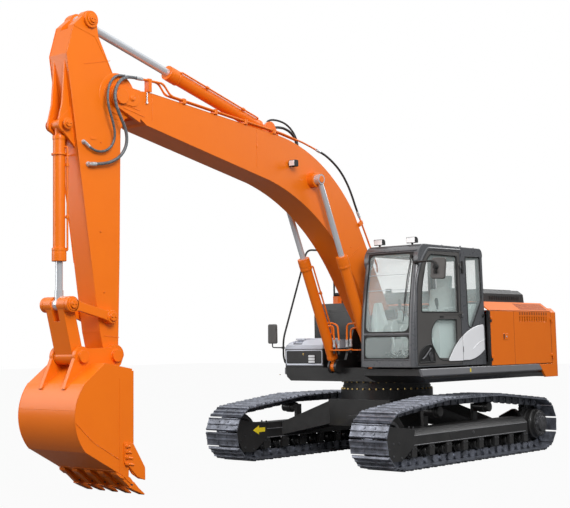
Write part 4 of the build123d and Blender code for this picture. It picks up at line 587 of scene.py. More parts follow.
FRONT_LOW = circle_through((1.270, 1.330), (1.220, 2.100), (1.095, 2.780))
FRONT_HIGH = circle_through((1.095, 2.780), (1.060, 2.950), (0.930, 3.040))
DOOR_EDGE = [(0.020, 1.352), (1.165, 1.352)] + arc((1.165, 1.352), (1.158, 1.900), (1.128, 2.300), 10)[1:] + \
    arc((1.128, 2.300), (1.060, 2.650), (0.830, 2.950), 12)[1:] + [(0.020, 2.962)]
DOOR_WINDOW = [(0.105, 2.092), (1.040, 2.086)] + arc((1.040, 2.086), (1.020, 2.400), (0.945, 2.660), 8)[1:] + \
    arc((0.945, 2.660), (0.880, 2.810), (0.765, 2.905), 8)[1:] + [(0.105, 2.905)]
LOW_WINDOW = [(0.150, 1.990), (0.560, 1.990)] + arc((0.560, 1.990), (0.790, 1.860), (0.800, 1.640), 10)[1:] + \
    [(0.640, 1.450)] + arc((0.640, 1.450), (0.330, 1.440), (0.150, 1.640), 10)[1:]
REAR_WINDOW = [(-0.140, 2.905), (-0.545, 2.915), (-0.560, 2.280), (-0.300, 1.920)] + \
    arc((-0.300, 1.920), (-0.230, 1.870), (-0.165, 1.950), 8)[1:]


def front_x(z):
    ox, oz, radius = FRONT_LOW if z < 2.780 else FRONT_HIGH
    return ox + math.sqrt(max(radius ** 2 - (z - oz) ** 2, 0.0))


def front_border(form, y0, y1, z0, z1, width, radius):
    """Black border of a front pane: square outside, round inside, following the curved front."""
    depth = 0.009
    outer = []
    inner = []
    for corner_y, corner_z, sy, sz, start in ((y1, z0, -1, 1, -90), (y1, z1, -1, -1, 0), (y0, z1, 1, -1, 90),
                                              (y0, z0, 1, 1, 180)):
        cy, cz = corner_y + sy * (width + radius), corner_z + sz * (width + radius)
        for i in range(9):
            t = math.radians(start + 90 * i / 8)
            inner.append((cy + radius * math.cos(t), cz + radius * math.sin(t)))
            if i == 4:
                oy, oz = corner_y, corner_z
            elif i < 4:
                oy, oz = (cy + (corner_y - cy) * i / 4, corner_z) if start in (-90, 90) else \
                    (corner_y, cz + (corner_z - cz) * i / 4)
            else:
                oy, oz = (corner_y, corner_z + (cz - corner_z) * (i - 4) / 4) if start in (-90, 90) else \
                    (corner_y + (cy - corner_y) * (i - 4) / 4, corner_z)
            outer.append((oy, oz))

    pairs = []
    for (oa, ia), (ob, ib) in zip(zip(outer, inner), list(zip(outer, inner))[1:] + [(outer[0], inner[0])]):
        steps = max(1, int(max(abs(ob[1] - oa[1]), abs(ib[1] - ia[1])) / 0.06))
        for k in range(steps):
            t = k / steps
            pairs.append(((oa[0] + (ob[0] - oa[0]) * t, oa[1] + (ob[1] - oa[1]) * t),
                          (ia[0] + (ib[0] - ia[0]) * t, ia[1] + (ib[1] - ia[1]) * t)))
    mesh = form.mesh
    rows = []
    for (oy, oz), (iy, iz) in pairs:
        rows.append([mesh.verts.new((front_x(z) - d, y, z)) for y, z, d in
                     ((oy, oz, depth), (iy, iz, depth), (iy, iz, depth + 0.003), (oy, oz, depth + 0.003))])
    for a, b in zip(rows, rows[1:] + rows[:1]):
        for k in range(4):
            j = (k + 1) % 4
            mesh.faces.new((a[k], a[j], b[j], b[k]))


def ring_on_side(form, outline, y, radius):
    points = [(x, y, z) for x, z in outline]
    form.sweep(rounded(points + points[:1], 0.03, 3), radius, 8)


def windscreen():
    border = Form()
    front_border(border, GLASS_Y[0], GLASS_Y[1], 1.800, 2.925, 0.022, 0.085)
    front_border(border, GLASS_Y[0], GLASS_Y[1], 1.440, 1.765, 0.018, 0.055)
    border.done("windscreen_border", "house", "rubber", smooth=60)
    bars = Form()
    for z in (2.617, 2.400):
        bars.rod((front_x(z) - 0.030, GLASS_Y[0] + 0.004, z), (front_x(z) - 0.030, GLASS_Y[1] - 0.004, z), 0.0045,
                 sides=8)
    bars.done("windscreen_bars", "house", "bevel_grey")
    wiper = Form()
    top, low = (front_x(2.86) + 0.014, 1.262, 2.862), (front_x(2.20) + 0.010, 1.190, 2.200)
    middle = (front_x(2.55) + 0.022, 1.222, 2.550)
    wiper.sweep([top, (front_x(2.75) + 0.022, 1.243, 2.750), middle, low], 0.007, 8)
    wiper.sweep([(front_x(z) + 0.006, 1.258 - (2.80 - z) * 0.09, z) for z in (2.80, 2.6, 2.4, 2.2, 1.96)], 0.005, 6)
    wiper.rod((front_x(2.862) - 0.004, 1.262, 2.862), (front_x(2.862) + 0.022, 1.262, 2.862), 0.020)
    wiper.done("wiper", "house", "rubber")
    rim = Form()
    for z, r in ((1.7825, 0.010), (1.428, 0.008)):
        rim.sweep([(front_x(z) + 0.001, y, z) for y in (GLASS_Y[0], 0.9, GLASS_Y[1])], r, 8)
    rim.box((1.02, 0.475, 2.945), (1.075, 1.325, 2.962))
    rim.done("front_rails", "house", "frame_black", bevel=0.003)


def cab_side():
    seals = Form()
    ring_on_side(seals, DOOR_EDGE, 1.358, 0.006)
    ring_on_side(seals, REAR_WINDOW, 1.359, 0.008)
    seals.done("cab_seals", "house", "rubber", smooth=50)
    door = Form()
    ring_on_side(door, DOOR_WINDOW, 1.359, 0.009)
    ring_on_side(door, LOW_WINDOW, 1.359, 0.007)
    door.box((0.078, 1.358, 2.092), (0.112, 1.364, 2.905))
    door.plate(rect(0.49, 2.012, 0.58, 2.036), 0.010, "Y", 1.359, 1.366)
    door.done("door_seals", "cab_door", "rubber", smooth=50)
    arch = Form()
    edge = [(1.196, 1.352)] + arc((1.196, 1.352), (1.189, 1.900), (1.158, 2.306), 10)[1:] + \
        arc((1.158, 2.306), (1.086, 2.672), (0.838, 2.984), 12)[1:] + [(0.000, 2.994)]
    arch.sweep(rounded([(x, 1.356, z) for x, z in edge], 0.02, 2), 0.017, 12)
    arch.done("door_arch", "house", "frame_black", smooth=60)
    pocket = Form()
    outer = [(1.130, 1.392), (1.130, 1.500)] + arc((1.130, 1.500), (1.020, 1.592), (0.890, 1.628), 6)[1:] + \
        arc((0.890, 1.628), (0.790, 1.600), (0.752, 1.500), 6)[1:] + [(0.732, 1.392)]
    ring_on_side(pocket, outer, 1.360, 0.011)
    pocket.plate(outer, 0.02, "Y", 1.350, 1.361)
    pocket.done("door_pocket", "cab_door", "rubber", smooth=50)
    pull = Form()
    pull.sweep(rounded([(1.05, 1.363, 1.44), (1.02, 1.385, 1.47), (0.90, 1.388, 1.57), (0.85, 1.363, 1.585)], 0.03, 4),
               0.012, 12)
    pull.plate(((0.80, 1.41), (0.86, 1.41), (0.90, 1.50), (0.86, 1.54), (0.80, 1.50)), 0.015, "Y", 1.361, 1.372)
    pull.done("door_pull", "cab_door", "worn_steel", bevel=0.003, smooth=60)
    catch = Form()
    catch.plate(((-0.062, 2.655), (-0.020, 2.655), (-0.016, 2.835), (-0.052, 2.835)), 0.012, "Y", 1.359, 1.382)
    catch.lathe(((0.0, 0.026), (0.010, 0.026), (0.014, 0.020), (0.014, 0)), (-0.578, 1.3595, 2.046))
    catch.done("cab_catches", "house", "rubber", bevel=0.004)
    seam = Form()
    seam.sweep([(-0.012, 1.3605, 2.96), (-0.020, 1.3605, 2.90)], 0.004, 6)
    seam.sweep([(0.46, 1.361, 2.052), (0.10, 1.361, 2.052), (0.02, 1.361, 1.99)], 0.003, 6)
    seam.done("cab_seams", "house", "rubber")


def swoosh():
    """Pale trim plate across the door's lower rear corner and the cab's side behind it."""
    top = arc((0.401, 1.405), (0.019, 1.749), (-0.569, 1.924), 24)
    rear = [(-0.592, 1.880), (-0.592, 1.540)]
    low = arc((-0.592, 1.540), (-0.360, 1.432), (-0.148, 1.392), 8)
    whole = top + rear + low[1:] + [(0.385, 1.392)]
    split = 0.014

    def cut(points, keep_front):
        kept = []
        for (ax, az), (bx, bz) in zip(points, points[1:] + points[:1]):
            inside_a = (ax > split) == keep_front
            inside_b = (bx > split) == keep_front
            gap = 0.004 if keep_front else -0.004
            if inside_a:
                kept.append((ax, az))
            if inside_a != inside_b:
                t = (split - ax) / (bx - ax)
                kept.append((split + gap, az + (bz - az) * t))
        return kept

    for name, body, front in (("trim_front", "cab_door", True), ("trim_rear", "house", False)):
        for part, look, grow, y0, y1, bevel in (("edge", "rubber", 1.0, 1.3602, 1.366, 0.0),
                                                ("plate", "panel_silver", 0.0, 1.3602, 1.376, 0.006)):
            points = cut(whole, front)
            if not grow:
                cx = sum(x for x, _ in points) / len(points)
                cz = sum(z for _, z in points) / len(points)
                points = [(cx + (x - cx) * 0.975, cz + (z - cz) * 0.965) for x, z in points]
            form = Form()
            form.prism(points, "Y", y0, y1)
            form.done(f"{name}_{part}", body, look, bevel=bevel, smooth=40, segments=3)
    crease = Form()
    crease.sweep([(-0.588, 1.377, 1.700), (-0.43, 1.377, 1.655), (-0.25, 1.377, 1.560)], 0.004, 6)
    crease.done("trim_crease", "house", "panel_silver", smooth=60)


def cab_roof():
    lamps = Form()
    lens = Form()
    for y in (0.605, 1.168):
        lamps.plate(((0.900, 3.062), (0.968, 3.056), (0.974, 3.144), (0.930, 3.144), (0.904, 3.120)), 0.012, "Y",
                    y - 0.078, y + 0.078)
        lamps.box((0.925, y - 0.012, 3.041), (0.950, y + 0.012, 3.064))
        lens.plate(rect(y - 0.070, 3.064, y + 0.070, 3.136), 0.012, "X", 0.9735, 0.979)
    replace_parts(lamps.done("lamp_housings", "house", "rubber", bevel=0.004), "cab_lamps")
    lens.done("lamp_lenses", "house", "lens", bevel=0.003)
    roof = Form()
    roof.sweep([(0.97, 0.46, 3.026), (0.97, 1.34, 3.026)], 0.012, 8)
    for x, y, h in ((-0.13, 1.29, 0.025), (-0.56, 1.25, 0.02), (0.40, 1.31, 0.012)):
        roof.rod((x, y, 3.036), (x, y, 3.042 + h), 0.018, 0.012, 12)
    roof.plate(rect(-0.165, 0.605, 0.535, 1.195), 0.05, "Z", 3.0405, 3.052)
    roof.done("roof_fittings", "house", "frame_black", bevel=0.005, smooth=45)


def cab_mirrors():
    arms = Form()
    arms.sweep(rounded([(1.095, 1.325, 2.772), (1.150, 1.46, 2.776), (1.200, 1.66, 2.772), (1.212, 1.705, 2.735),
                        (1.212, 1.705, 2.640), (1.205, 1.690, 2.600)], 0.03, 4), 0.013, 12)
    arms.rod((1.090, 1.310, 2.770), (1.102, 1.350, 2.772), 0.024)
    arms.lathe(((0.0, 0.040), (0.012, 0.040), (0.020, 0.030), (0.045, 0.026), (0.045, 0.0)), (1.180, 1.705, 2.688),
               axis=(1, 0, 0), sides=24)
    arms.box((1.180, 1.690, 2.598), (1.222, 1.722, 2.640))
    arms.sweep(rounded([(0.716, RAIL_Y, 1.610), (0.925, RAIL_Y - 0.030, 1.616), (0.925, RAIL_Y - 0.030, 1.70)], 0.03,
                       4), 0.009, 10)
    arms.box((0.690, RAIL_Y - 0.020, 1.595), (0.722, RAIL_Y + 0.020, 1.625))
    heads = Form()
    heads.plate(((1.606, 2.532), (1.838, 2.518), (1.866, 2.812), (1.630, 2.818)), 0.040, "X", 1.148, 1.182, 5)
    heads.plate(((RAIL_Y - 0.112, 1.674), (RAIL_Y + 0.068, 1.674), (RAIL_Y + 0.066, 1.972), (RAIL_Y - 0.108, 1.972)),
                0.03, "X", 0.908, 0.942, 5)
    glass_form = Form()
    glass_form.plate(((1.622, 2.547), (1.824, 2.535), (1.850, 2.798), (1.644, 2.803)), 0.028, "X", 1.1462, 1.1490, 5)
    glass_form.plate(((RAIL_Y - 0.100, 1.688), (RAIL_Y + 0.056, 1.688), (RAIL_Y + 0.054, 1.960),
                      (RAIL_Y - 0.096, 1.960)), 0.02, "X", 0.9062, 0.9090, 5)
    arms.done("mirror_arms", "house", "rubber", smooth=50)
    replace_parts(heads.done("mirror_heads", "house", "door_grey", bevel=0.013, segments=4), "mirrors")
    glass_form.done("mirror_glass", "house", "mirror")


def cab_inside():
    """Consoles' tops, levers with boots, monitor tower, pedals, belt and the trim behind the seat."""
    pale = Form()
    dark = Form()
    for side in (-1, 1):
        y = CAB_MIDDLE + side * 0.320
        pale.plate(((-0.12, 1.925), (0.30, 1.925), (0.50, 1.960), (0.52, 2.000), (0.30, 2.045), (-0.12, 2.010)), 0.03,
                   "Y", y - 0.062, y + 0.062)
        pale.lathe(((0.0, 0.055), (0.05, 0.040), (0.085, 0.022), (0.10, 0.014)), (0.405, y, 2.02), axis=(0.15, 0, 1))
        dark.lathe(((0.0, 0.012), (0.07, 0.013), (0.10, 0.024), (0.16, 0.027), (0.19, 0.020), (0.20, 0)),
                   (0.418, y, 2.10), axis=(0.15, 0, 1), sides=16)
        pale.plate(((-0.30, 2.115), (0.12, 2.115), (0.14, 2.150), (0.10, 2.165), (-0.30, 2.160)), 0.015, "Y",
                   CAB_MIDDLE + side * 0.275 - 0.035, CAB_MIDDLE + side * 0.275 + 0.035)
    # monitor tower at the right front corner, front column and the travel pedals
    pale.plate(((0.86, 1.80), (1.05, 1.80), (1.06, 1.95), (1.02, 2.10), (0.98, 2.23), (0.93, 2.23), (0.88, 2.10)),
               0.03, "Y", 0.505, 0.560)
    pale.plate(((0.505, 1.80), (0.640, 1.80), (0.700, 1.93), (0.640, 2.08), (0.590, 2.24), (0.545, 2.24),
                (0.505, 2.08)), 0.03, "X", 0.90, 0.99)
    dark.plate(rect(0.515, 2.02, 0.68, 2.14), 0.012, "X", 0.70, 0.74)
    for y in (-0.075, 0.075):
        pale.sweep([(0.97, CAB_MIDDLE + y, 1.56), (0.995, CAB_MIDDLE + y, 1.78), (1.010, CAB_MIDDLE + y, 1.86),
                    (0.985, CAB_MIDDLE + y + (0.03 if y > 0 else -0.03), 1.90)], 0.014, 10)
        dark.plate(((0.90, 1.44), (1.12, 1.52), (1.115, 1.535), (0.89, 1.455)), 0.004, "Y", CAB_MIDDLE + y - 0.045,
                   CAB_MIDDLE + y + 0.045)
    pale.plate(((0.60, 1.40), (0.74, 1.40), (0.70, 1.62), (0.62, 1.72), (0.56, 1.70)), 0.03, "Y", 0.60, 0.74)
    pale.plate(((0.52, 1.40), (0.70, 1.40), (0.66, 1.66), (0.56, 1.74), (0.50, 1.70)), 0.03, "Y", 1.06, 1.20)
    pale.plate(((0.30, 1.72), (0.52, 1.70), (0.60, 1.60), (0.58, 1.50), (0.30, 1.50)), 0.04, "Y", 0.70, 1.10)
    dark.box((0.30, 0.52, 1.391), (1.14, 1.28, 1.400))
    dark.plate(((0.78, 1.40), (0.90, 1.40), (0.88, 1.56), (0.80, 1.56)), 0.02, "Y", 0.84, 0.96)
    # rear shelf and upper trim
    pale.plate(((-0.56, 1.40), (-0.35, 1.40), (-0.36, 2.16), (-0.42, 2.22), (-0.56, 2.22)), 0.03, "Y", 0.52, 1.28)
    pale.plate(((0.62, 1.78), (0.76, 1.80), (0.74, 1.98), (0.66, 2.00), (0.60, 1.94)), 0.03, "Y", 0.55, 0.66)
    for side in (-1, 1):
        dark.sweep([(-0.20, CAB_MIDDLE + side * 0.235, 1.88), (-0.16, CAB_MIDDLE + side * 0.262, 1.98),
                    (-0.22, CAB_MIDDLE + side * 0.265, 2.10)], 0.010, 8)
    dark.rod((0.12, 0.655, 1.84), (0.12, 0.655, 1.99), 0.012, 0.012, 12)
    pale.done("cab_trim", "house", "cab_plastic", bevel=0.006, segments=3)
    dark.done("cab_controls", "house", "cab_dark", bevel=0.003)


def seat_pad(name, node, cap):
    """A cushion from the node's own shape: fine mesh, inflated by a short cloth simulation."""
    source = frame["nodes"][node]
    mesh = source.data.copy()
    pad = bpy.data.objects.new(name, mesh)
    bpy.context.scene.collection.objects.link(pad)
    pad.matrix_world = source.matrix_world.copy()
    mesh.materials.clear()
    mesh.materials.append(MATERIALS["seat_fabric"])
    for other in bpy.context.selected_objects:
        other.select_set(False)
    bpy.context.view_layer.objects.active = pad
    pad.select_set(True)
    grid = pad.modifiers.new("grid", "REMESH")
    grid.mode = "VOXEL"
    grid.voxel_size = 0.014
    bpy.ops.object.modifier_apply(modifier=grid.name)
    rest = [vertex.co.copy() for vertex in pad.data.vertices]
    cloth = pad.modifiers.new("fill", "CLOTH")
    cloth.settings.use_pressure = True
    cloth.settings.uniform_pressure_force = 4.0
    cloth.settings.effector_weights.gravity = 0.0
    cloth.settings.quality = 6
    cloth.point_cache.frame_start = 1
    cloth.point_cache.frame_end = 20
    scene = bpy.context.scene
    for number in range(1, 21):
        scene.frame_set(number)
    bpy.ops.object.modifier_apply(modifier=cloth.name)
    scene.frame_set(1)
    for vertex, start in zip(pad.data.vertices, rest):
        moved = vertex.co - start
        if moved.length > cap:
            vertex.co = start + moved * (cap / moved.length)
    soft = pad.modifiers.new("ease", "SMOOTH")
    soft.factor = 0.5
    soft.iterations = 6
    bpy.ops.object.modifier_apply(modifier=soft.name)
    finer = pad.modifiers.new("finer", "SUBSURF")
    finer.levels = finer.render_levels = 1
    bpy.ops.object.modifier_apply(modifier=finer.name)
    for polygon in pad.data.polygons:
        polygon.use_smooth = True
    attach(pad, "house")
    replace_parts(pad, node)
    return pad


windscreen()
cab_side()
swoosh()
cab_roof()
cab_mirrors()
cab_inside()
seat_pad("seat_pad", "seat_cushion", 0.020)
seat_pad("back_pad", "seat_back", 0.016)


# ---------------------------------------------------------------- upper structure
HOUSE_SIDE = 1.425
WEIGHT_FRONT = -2.567          # where the rear doors end and the counterweight begins
LOUVRE_DOORS = ((1, "left_rear_door", -1.389), (-1, "right_rear_door", -1.326))    # side, body, front edge


def door_latches():
    """Paddle with its slot and lock on the front left and the right side door."""
    for side, body, x in ((1, "left_front_door", -1.120), (-1, "right_rear_door", -1.470)):
        y = side * HOUSE_SIDE
        paddle = Form()
        paddle.plate(rect(x - 0.074, 1.686, x + 0.074, 1.780), 0.012, "Y", y, y + side * 0.004)
        paddle.done(f"latch_{body}", body, "orange", bevel=0.002)
        # the slot is a black plate 5 mm proud of the door: painted shade standing for the recess behind the paddle
        slot = Form()
        slot.plate(rect(x + 0.036, 1.698, x + 0.066, 1.772), 0.008, "Y", y, y + side * 0.005)
        slot.done(f"latch_slot_shade_{body}", body, "rubber")
        lock = Form()
        lock.rod((x - 0.022, y, 1.733), (x - 0.022, y + side * 0.009, 1.733), 0.016, sides=20)
        lock.done(f"latch_lock_{body}", body, "fitting", bevel=0.002)


def louvres():
    """Slats behind the rear doors' slots; the upper row of slots and the fine grille in the bevel above are thin dark
    orange strips of painted shade.
    """
    for side, body, x1 in LOUVRE_DOORS:
        x0 = WEIGHT_FRONT
        step = (x1 - x0 - 0.260) / 12
        form = Form()
        inner = side * (HOUSE_SIDE - 0.042)
        for i in range(12):
            slot = x0 + 0.130 + step * i
            for z in (1.970, 1.995, 2.020):
                form.prism(rect(slot, z, slot + step * 0.5, z + 0.004), "Y", inner + side * 0.006,
                           inner + side * 0.034)
        low, high = sorted((inner - side * 0.004, inner))
        form.box((x0 + 0.10, low, 1.95), (x1 - 0.10, high, 2.05))
        form.done(f"louvre_slats_{body}", body, "rubber")
    fine = Form()
    for side, body, x1 in LOUVRE_DOORS:
        # each slot of the upper row is a thin dark orange strip on the face: painted shade standing for the opening
        row = Form()
        step = (x1 - WEIGHT_FRONT - 0.260) / 12
        for i in range(12):
            x = -2.437 + step * i
            row.prism(rect(x, 2.062, x + step * 0.5, 2.108), "Y", side * HOUSE_SIDE, side * 1.4262)
        row.done(f"louvre_row_shade_{body}", body, "painted_shade_orange")
        # the fine grille is thin dark orange bars on the bevel: painted shade for its openings
        for i in range(34):
            x = -2.480 + i * 0.026
            fine.prism(((side * 1.4129, 2.1419), (side * 1.2758, 2.2430), (side * 1.2765, 2.2440),
                        (side * 1.4136, 2.1429)), "X", x, x + 0.015)
    fine.done("bevel_grille_shade", "house", "painted_shade_orange")


def hood_details():
    """Slots in the hood's sides, the dark panel on it and its grab."""
    grille = Form()
    for i in range(14):
        x = -2.33 + i * 0.068
        for side in (-1, 1):
            grille.prism(rect(x, 2.31, x + 0.028, 2.375), "Y", side * 0.9995, side * 1.0035)
    grille.done("hood_slots", "engine_hood", "rubber")
    hood = Form()
    hood.plate(rect(-2.36, -0.86, -1.38, 0.86), 0.06, "Z", 2.4705, 2.482)
    hood.sweep(rounded([(-1.30, -0.12, 2.44), (-1.215, -0.12, 2.44), (-1.215, 0.12, 2.44), (-1.30, 0.12, 2.44)], 0.02,
                       3), 0.008, 8)
    hood.done("hood_panel", "engine_hood", "black_paint", bevel=0.004)


def sill_details(bolts):
    """Yellow reflectors on the sills and bolts along them."""
    marks = Form()
    for side in (-1, 1):
        y = side * HOUSE_SIDE
        low, high = sorted((y, y + side * 0.002))
        marks.box((-0.097, low, 1.234), (-0.067, high, 1.286))
        for x in (-2.05, -1.35, -0.65, 0.25, 0.85):
            bolts.bolt((x, side * 1.389, 1.206), (0, 0, -1), 0.011, 0.010)
    marks.done("sill_marks", "house", "yellow")


def house_seams():
    """Shadow lines between cover and counterweight, and along the side doors' edges."""
    seams = Form()
    # thin dark orange strips on the cover's bevel: painted shadow in the gap between cover and counterweight
    for side in (-1, 1):
        seams.prism(((side * 1.4250, 2.1330), (side * 1.2500, 2.2620), (side * 1.2506, 2.2628),
                     (side * 1.4256, 2.1338)), "X", -2.566, -2.556)
    seams.done("weight_seam_shadows", "house", "painted_shade_orange")
    # thin dark orange strips along the doors' edges: painted shadow in the gaps between the panels
    for body, side, x0, x1 in (("left_rear_door", 1, -2.564, -2.552), ("left_front_door", 1, -1.3840, -1.3780),
                               ("right_rear_door", -1, -2.564, -2.552)):
        strip = Form()
        strip.prism(rect(x0, 1.315, x1, 2.118), "Y", side * 1.4250, side * 1.4257)
        strip.done(f"edge_seam_{body}", body, "painted_shade_orange")


def toolbox_details(bolts):
    """Trim, face with its lamp and bolt, and ribs on the lid."""
    box_trim = Form()
    box_trim.sweep([(0.7065, -1.375, 1.5905), (0.7065, -0.660, 1.5905)], 0.006, 8)
    box_trim.sweep([(0.7065, -1.375, 1.346), (0.7065, -0.660, 1.346)], 0.008, 8)
    box_trim.plate(rect(-1.385, 1.352, -0.668, 1.575), 0.03, "X", 0.7052, 0.7090)
    box_trim.done("toolbox_trim", "house", "bevel_grey", bevel=0.002, smooth=50)
    face = Form()
    face.plate(rect(-1.368, 1.368, -0.685, 1.560), 0.025, "X", 0.709, 0.7125)
    lamp_frame = rounded_outline(rect(-0.942, 1.366, -0.798, 1.502), 0.015)
    face.done("toolbox_face", "house", "black_paint", bevel=0.002)
    frame_form = Form()
    frame_form.prism(lamp_frame, "X", 0.7125, 0.7165)
    frame_form.done("toolbox_lamp_frame", "house", "rubber", bevel=0.001)
    lens = Form()
    for z in (1.378, 1.419, 1.460):
        lens.plate(rect(-0.930, z, -0.810, z + 0.034), 0.008, "X", 0.7165, 0.7215)
    lens.done("toolbox_lamp", "house", "lens", bevel=0.001)
    bolts.bolt((0.7125, -1.035, 1.509), (1, 0, 0), 0.012, 0.010)
    lid = Form()
    for y0, y1 in ((-1.32, -1.10), (-1.02, -0.76)):
        lid.plate(rect(0.16, y0, 0.56, y1), 0.04, "Z", 1.7302, 1.748, 5)
    for x in (0.14, 0.64):
        lid.bolt((x, -1.06, 1.7302), (0, 0, 1), 0.012, 0.014)
    lid.done("lid_ribs", "toolbox_lid", "bevel_grey", bevel=0.007, segments=3)


def tank_details():
    """Orange plate and neck with the filler's cap, and the two panels on the tank's front."""
    tank = Form()
    tank.box((-0.62, -1.36, 2.2902), (-0.36, -1.10, 2.302))
    tank.box((-0.500, -1.300, 2.2902), (-0.400, -1.200, 2.420))
    tank.done("filler_plate", "house", "orange", bevel=0.004)
    cap = Form()
    cap.lathe(((0.0, 0.046), (0.0, 0.058), (0.012, 0.064), (0.030, 0.064), (0.038, 0.052), (0.052, 0.048), (0.058, 0)),
              (-0.450, -1.250, 2.4205), axis=(0, 0, 1), sides=28)
    cap.box((-0.505, -1.258, 2.446), (-0.395, -1.242, 2.470))
    cap.done("filler_cap", "house", "rubber", bevel=0.002)
    front = Form()
    front.plate(rect(-1.35, 1.78, -0.55, 2.14), 0.05, "X", 0.0005, 0.008)
    front.plate(rect(-1.35, 1.34, -0.55, 1.73), 0.05, "X", 0.0005, 0.008)
    front.done("tank_front", "house", "black_paint", bevel=0.004)


def toolbox_steps():
    """Two dark bars on the toolbox's outer side."""
    step = Form()
    for z in (1.42, 1.60):
        step.box((0.12, -1.4022, z), (0.44, -1.4002, z + 0.05))
    step.done("toolbox_steps", "house", "rubber")


def rail_and_exhaust():
    """The long handrail bent round the tank, and the exhaust's open pipe."""
    rail = Form()
    rail.sweep(rounded([(0.66, -1.4005, 1.38), (0.66, RAIL_Y, 1.38), (0.70, RAIL_Y, 1.47), (0.70, RAIL_Y, 1.74),
                        (0.075, RAIL_Y, 3.16), (-0.425, -1.29, 3.16), (-0.425, -1.29, 2.2905)], 0.10, 7), 0.015, 14)
    rail.rod((-0.425, -1.29, 2.2905), (-0.425, -1.29, 2.2905 + 0.012), 0.040)
    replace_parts(rail.done("grab_rails", "house", "rubber", smooth=60), "handrails")
    pipe = Form()
    pipe.lathe(((0.0, 0.070), (0.012, 0.070), (0.012, 0.055), (0.200, 0.055), (0.298, 0.055), (0.298, 0.050),
                (0.10, 0.050), (0.10, 0.0)), (-1.700, -1.110, 2.2625), axis=(0, 0, 1), sides=32)
    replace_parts(pipe.done("exhaust", "house", "black_paint", smooth=50), "exhaust_pipe")


def valve_block():
    """Control valve, seen between cab and tank."""
    valve = Form()
    valve.box((0.10, -0.40, 1.378), (0.36, 0.02, 1.56))
    valve.box((0.14, -0.36, 1.56), (0.32, -0.06, 1.64))
    for i in range(5):
        valve.rod((0.36, -0.34 + i * 0.08, 1.46), (0.39, -0.34 + i * 0.08, 1.46), 0.022)
    valve.done("valve_block", "house", "black_paint", bevel=0.006)


house_bolts = Form()
door_latches()
louvres()
hood_details()
sill_details(house_bolts)
house_seams()
toolbox_details(house_bolts)
tank_details()
toolbox_steps()
rail_and_exhaust()
house_bolts.done("house_bolts", "house", "gold_bolt")
valve_block()


# ---------------------------------------------------------------- boom, arm and bucket
# pins (x, z)
ARM_PIN = (5.600, 4.632)
TIP_PIN = (5.682, 1.572)
LINK_PIN = (6.180, 1.570)
ROCKER_PIN = (5.750, 2.015)
TOP_PIN = (6.338, 2.155)
BUCKET_CYL_PIN = (6.360, 4.215)
ARM_CYL_ROD_PIN = (6.040, 5.492)
ARM_CYL_BASE_PIN = (2.750, 4.600)
BOOM_CYL_BASE_PIN = (0.810, 1.325)
BOOM_CYL_ROD_PIN = (1.990, 3.950)
BOOM_SIDE = 0.210
PIPE_Y = (0.176, 0.214)


def boom_top(x):
    """Height of the boom's upper face over its straight run."""
    return 4.500 + (x - 2.65) * 0.09763


# free hoses: diameter, length, look and the points along each one's middle
HOSES = {
    "bucket_hose_low": (0.038, 1.846, "hose", (
        (5.286, 0.214, 4.891), (5.410, 0.214, 4.891), (5.536, 0.226, 4.870), (5.650, 0.252, 4.806),
        (5.735, 0.280, 4.712), (5.772, 0.296, 4.604), (5.756, 0.300, 4.494), (5.694, 0.296, 4.382),
        (5.612, 0.286, 4.270), (5.552, 0.272, 4.150), (5.552, 0.256, 4.020), (5.624, 0.238, 3.900),
        (5.748, 0.220, 3.822), (5.894, 0.208, 3.784), (6.040, 0.202, 3.770))),
    "bucket_hose_high": (0.030, 1.610, "hose", (
        (5.448, 0.176, 4.898), (5.546, 0.176, 4.898), (5.642, 0.190, 4.880), (5.730, 0.214, 4.828),
        (5.804, 0.240, 4.742), (5.846, 0.258, 4.640), (5.854, 0.266, 4.536), (5.830, 0.266, 4.434),
        (5.780, 0.258, 4.330), (5.728, 0.244, 4.226), (5.704, 0.228, 4.122), (5.732, 0.214, 4.022),
        (5.812, 0.203, 3.952), (5.920, 0.196, 3.926), (6.030, 0.192, 3.946), (6.120, 0.190, 4.010))),
    "back_hose": (0.032, 1.345, "hose_black", (
        (1.850, 0.214, 4.390), (1.716, 0.214, 4.358), (1.576, 0.209, 4.306), (1.436, 0.204, 4.236),
        (1.302, 0.201, 4.146), (1.192, 0.201, 4.036), (1.104, 0.204, 3.916), (1.036, 0.209, 3.790),
        (0.977, 0.214, 3.6585), (0.9008, 0.214, 3.5294))),
    "arm_hose_thick": (0.036, 0.763, "hose_black", (
        (2.674, 0.028, 4.628), (2.575, 0.028, 4.655), (2.470, 0.028, 4.670), (2.360, 0.028, 4.670),
        (2.255, 0.028, 4.645), (2.165, 0.028, 4.600), (2.108, 0.028, 4.530), (2.084, 0.028, 4.455),
        (2.084, 0.028, 4.385))),
    "arm_hose_thin": (0.028, 1.009, "hose_black", (
        (2.709, -0.028, 4.670), (2.660, -0.028, 4.735), (2.580, -0.028, 4.770), (2.480, -0.028, 4.780),
        (2.375, -0.028, 4.776), (2.270, -0.028, 4.758), (2.175, -0.028, 4.718), (2.095, -0.028, 4.660),
        (2.035, -0.028, 4.590), (1.998, -0.028, 4.510), (1.986, -0.028, 4.430), (1.986, -0.028, 4.360))),
}


def crimp(name, body, end, inward, radius):
    """Silver fitting at a hose's end: sleeve over the hose, collar and nut."""
    end, inward = Vector(end), Vector(inward).normalized()
    form = Form()
    form.lathe(((0.0, radius * 0.98), (0.0, radius * 1.22), (0.006, radius * 1.28), (0.060, radius * 1.28),
                (0.066, radius * 1.16), (0.066, radius * 1.0)), end, axis=inward, sides=24)
    form.rod(end - inward * 0.034, end, radius * 1.22, sides=6)
    form.rod(end - inward * 0.040, end - inward * 0.034, radius * 0.9, sides=16)
    return form.done(name, body, "fitting", bevel=0.0015)


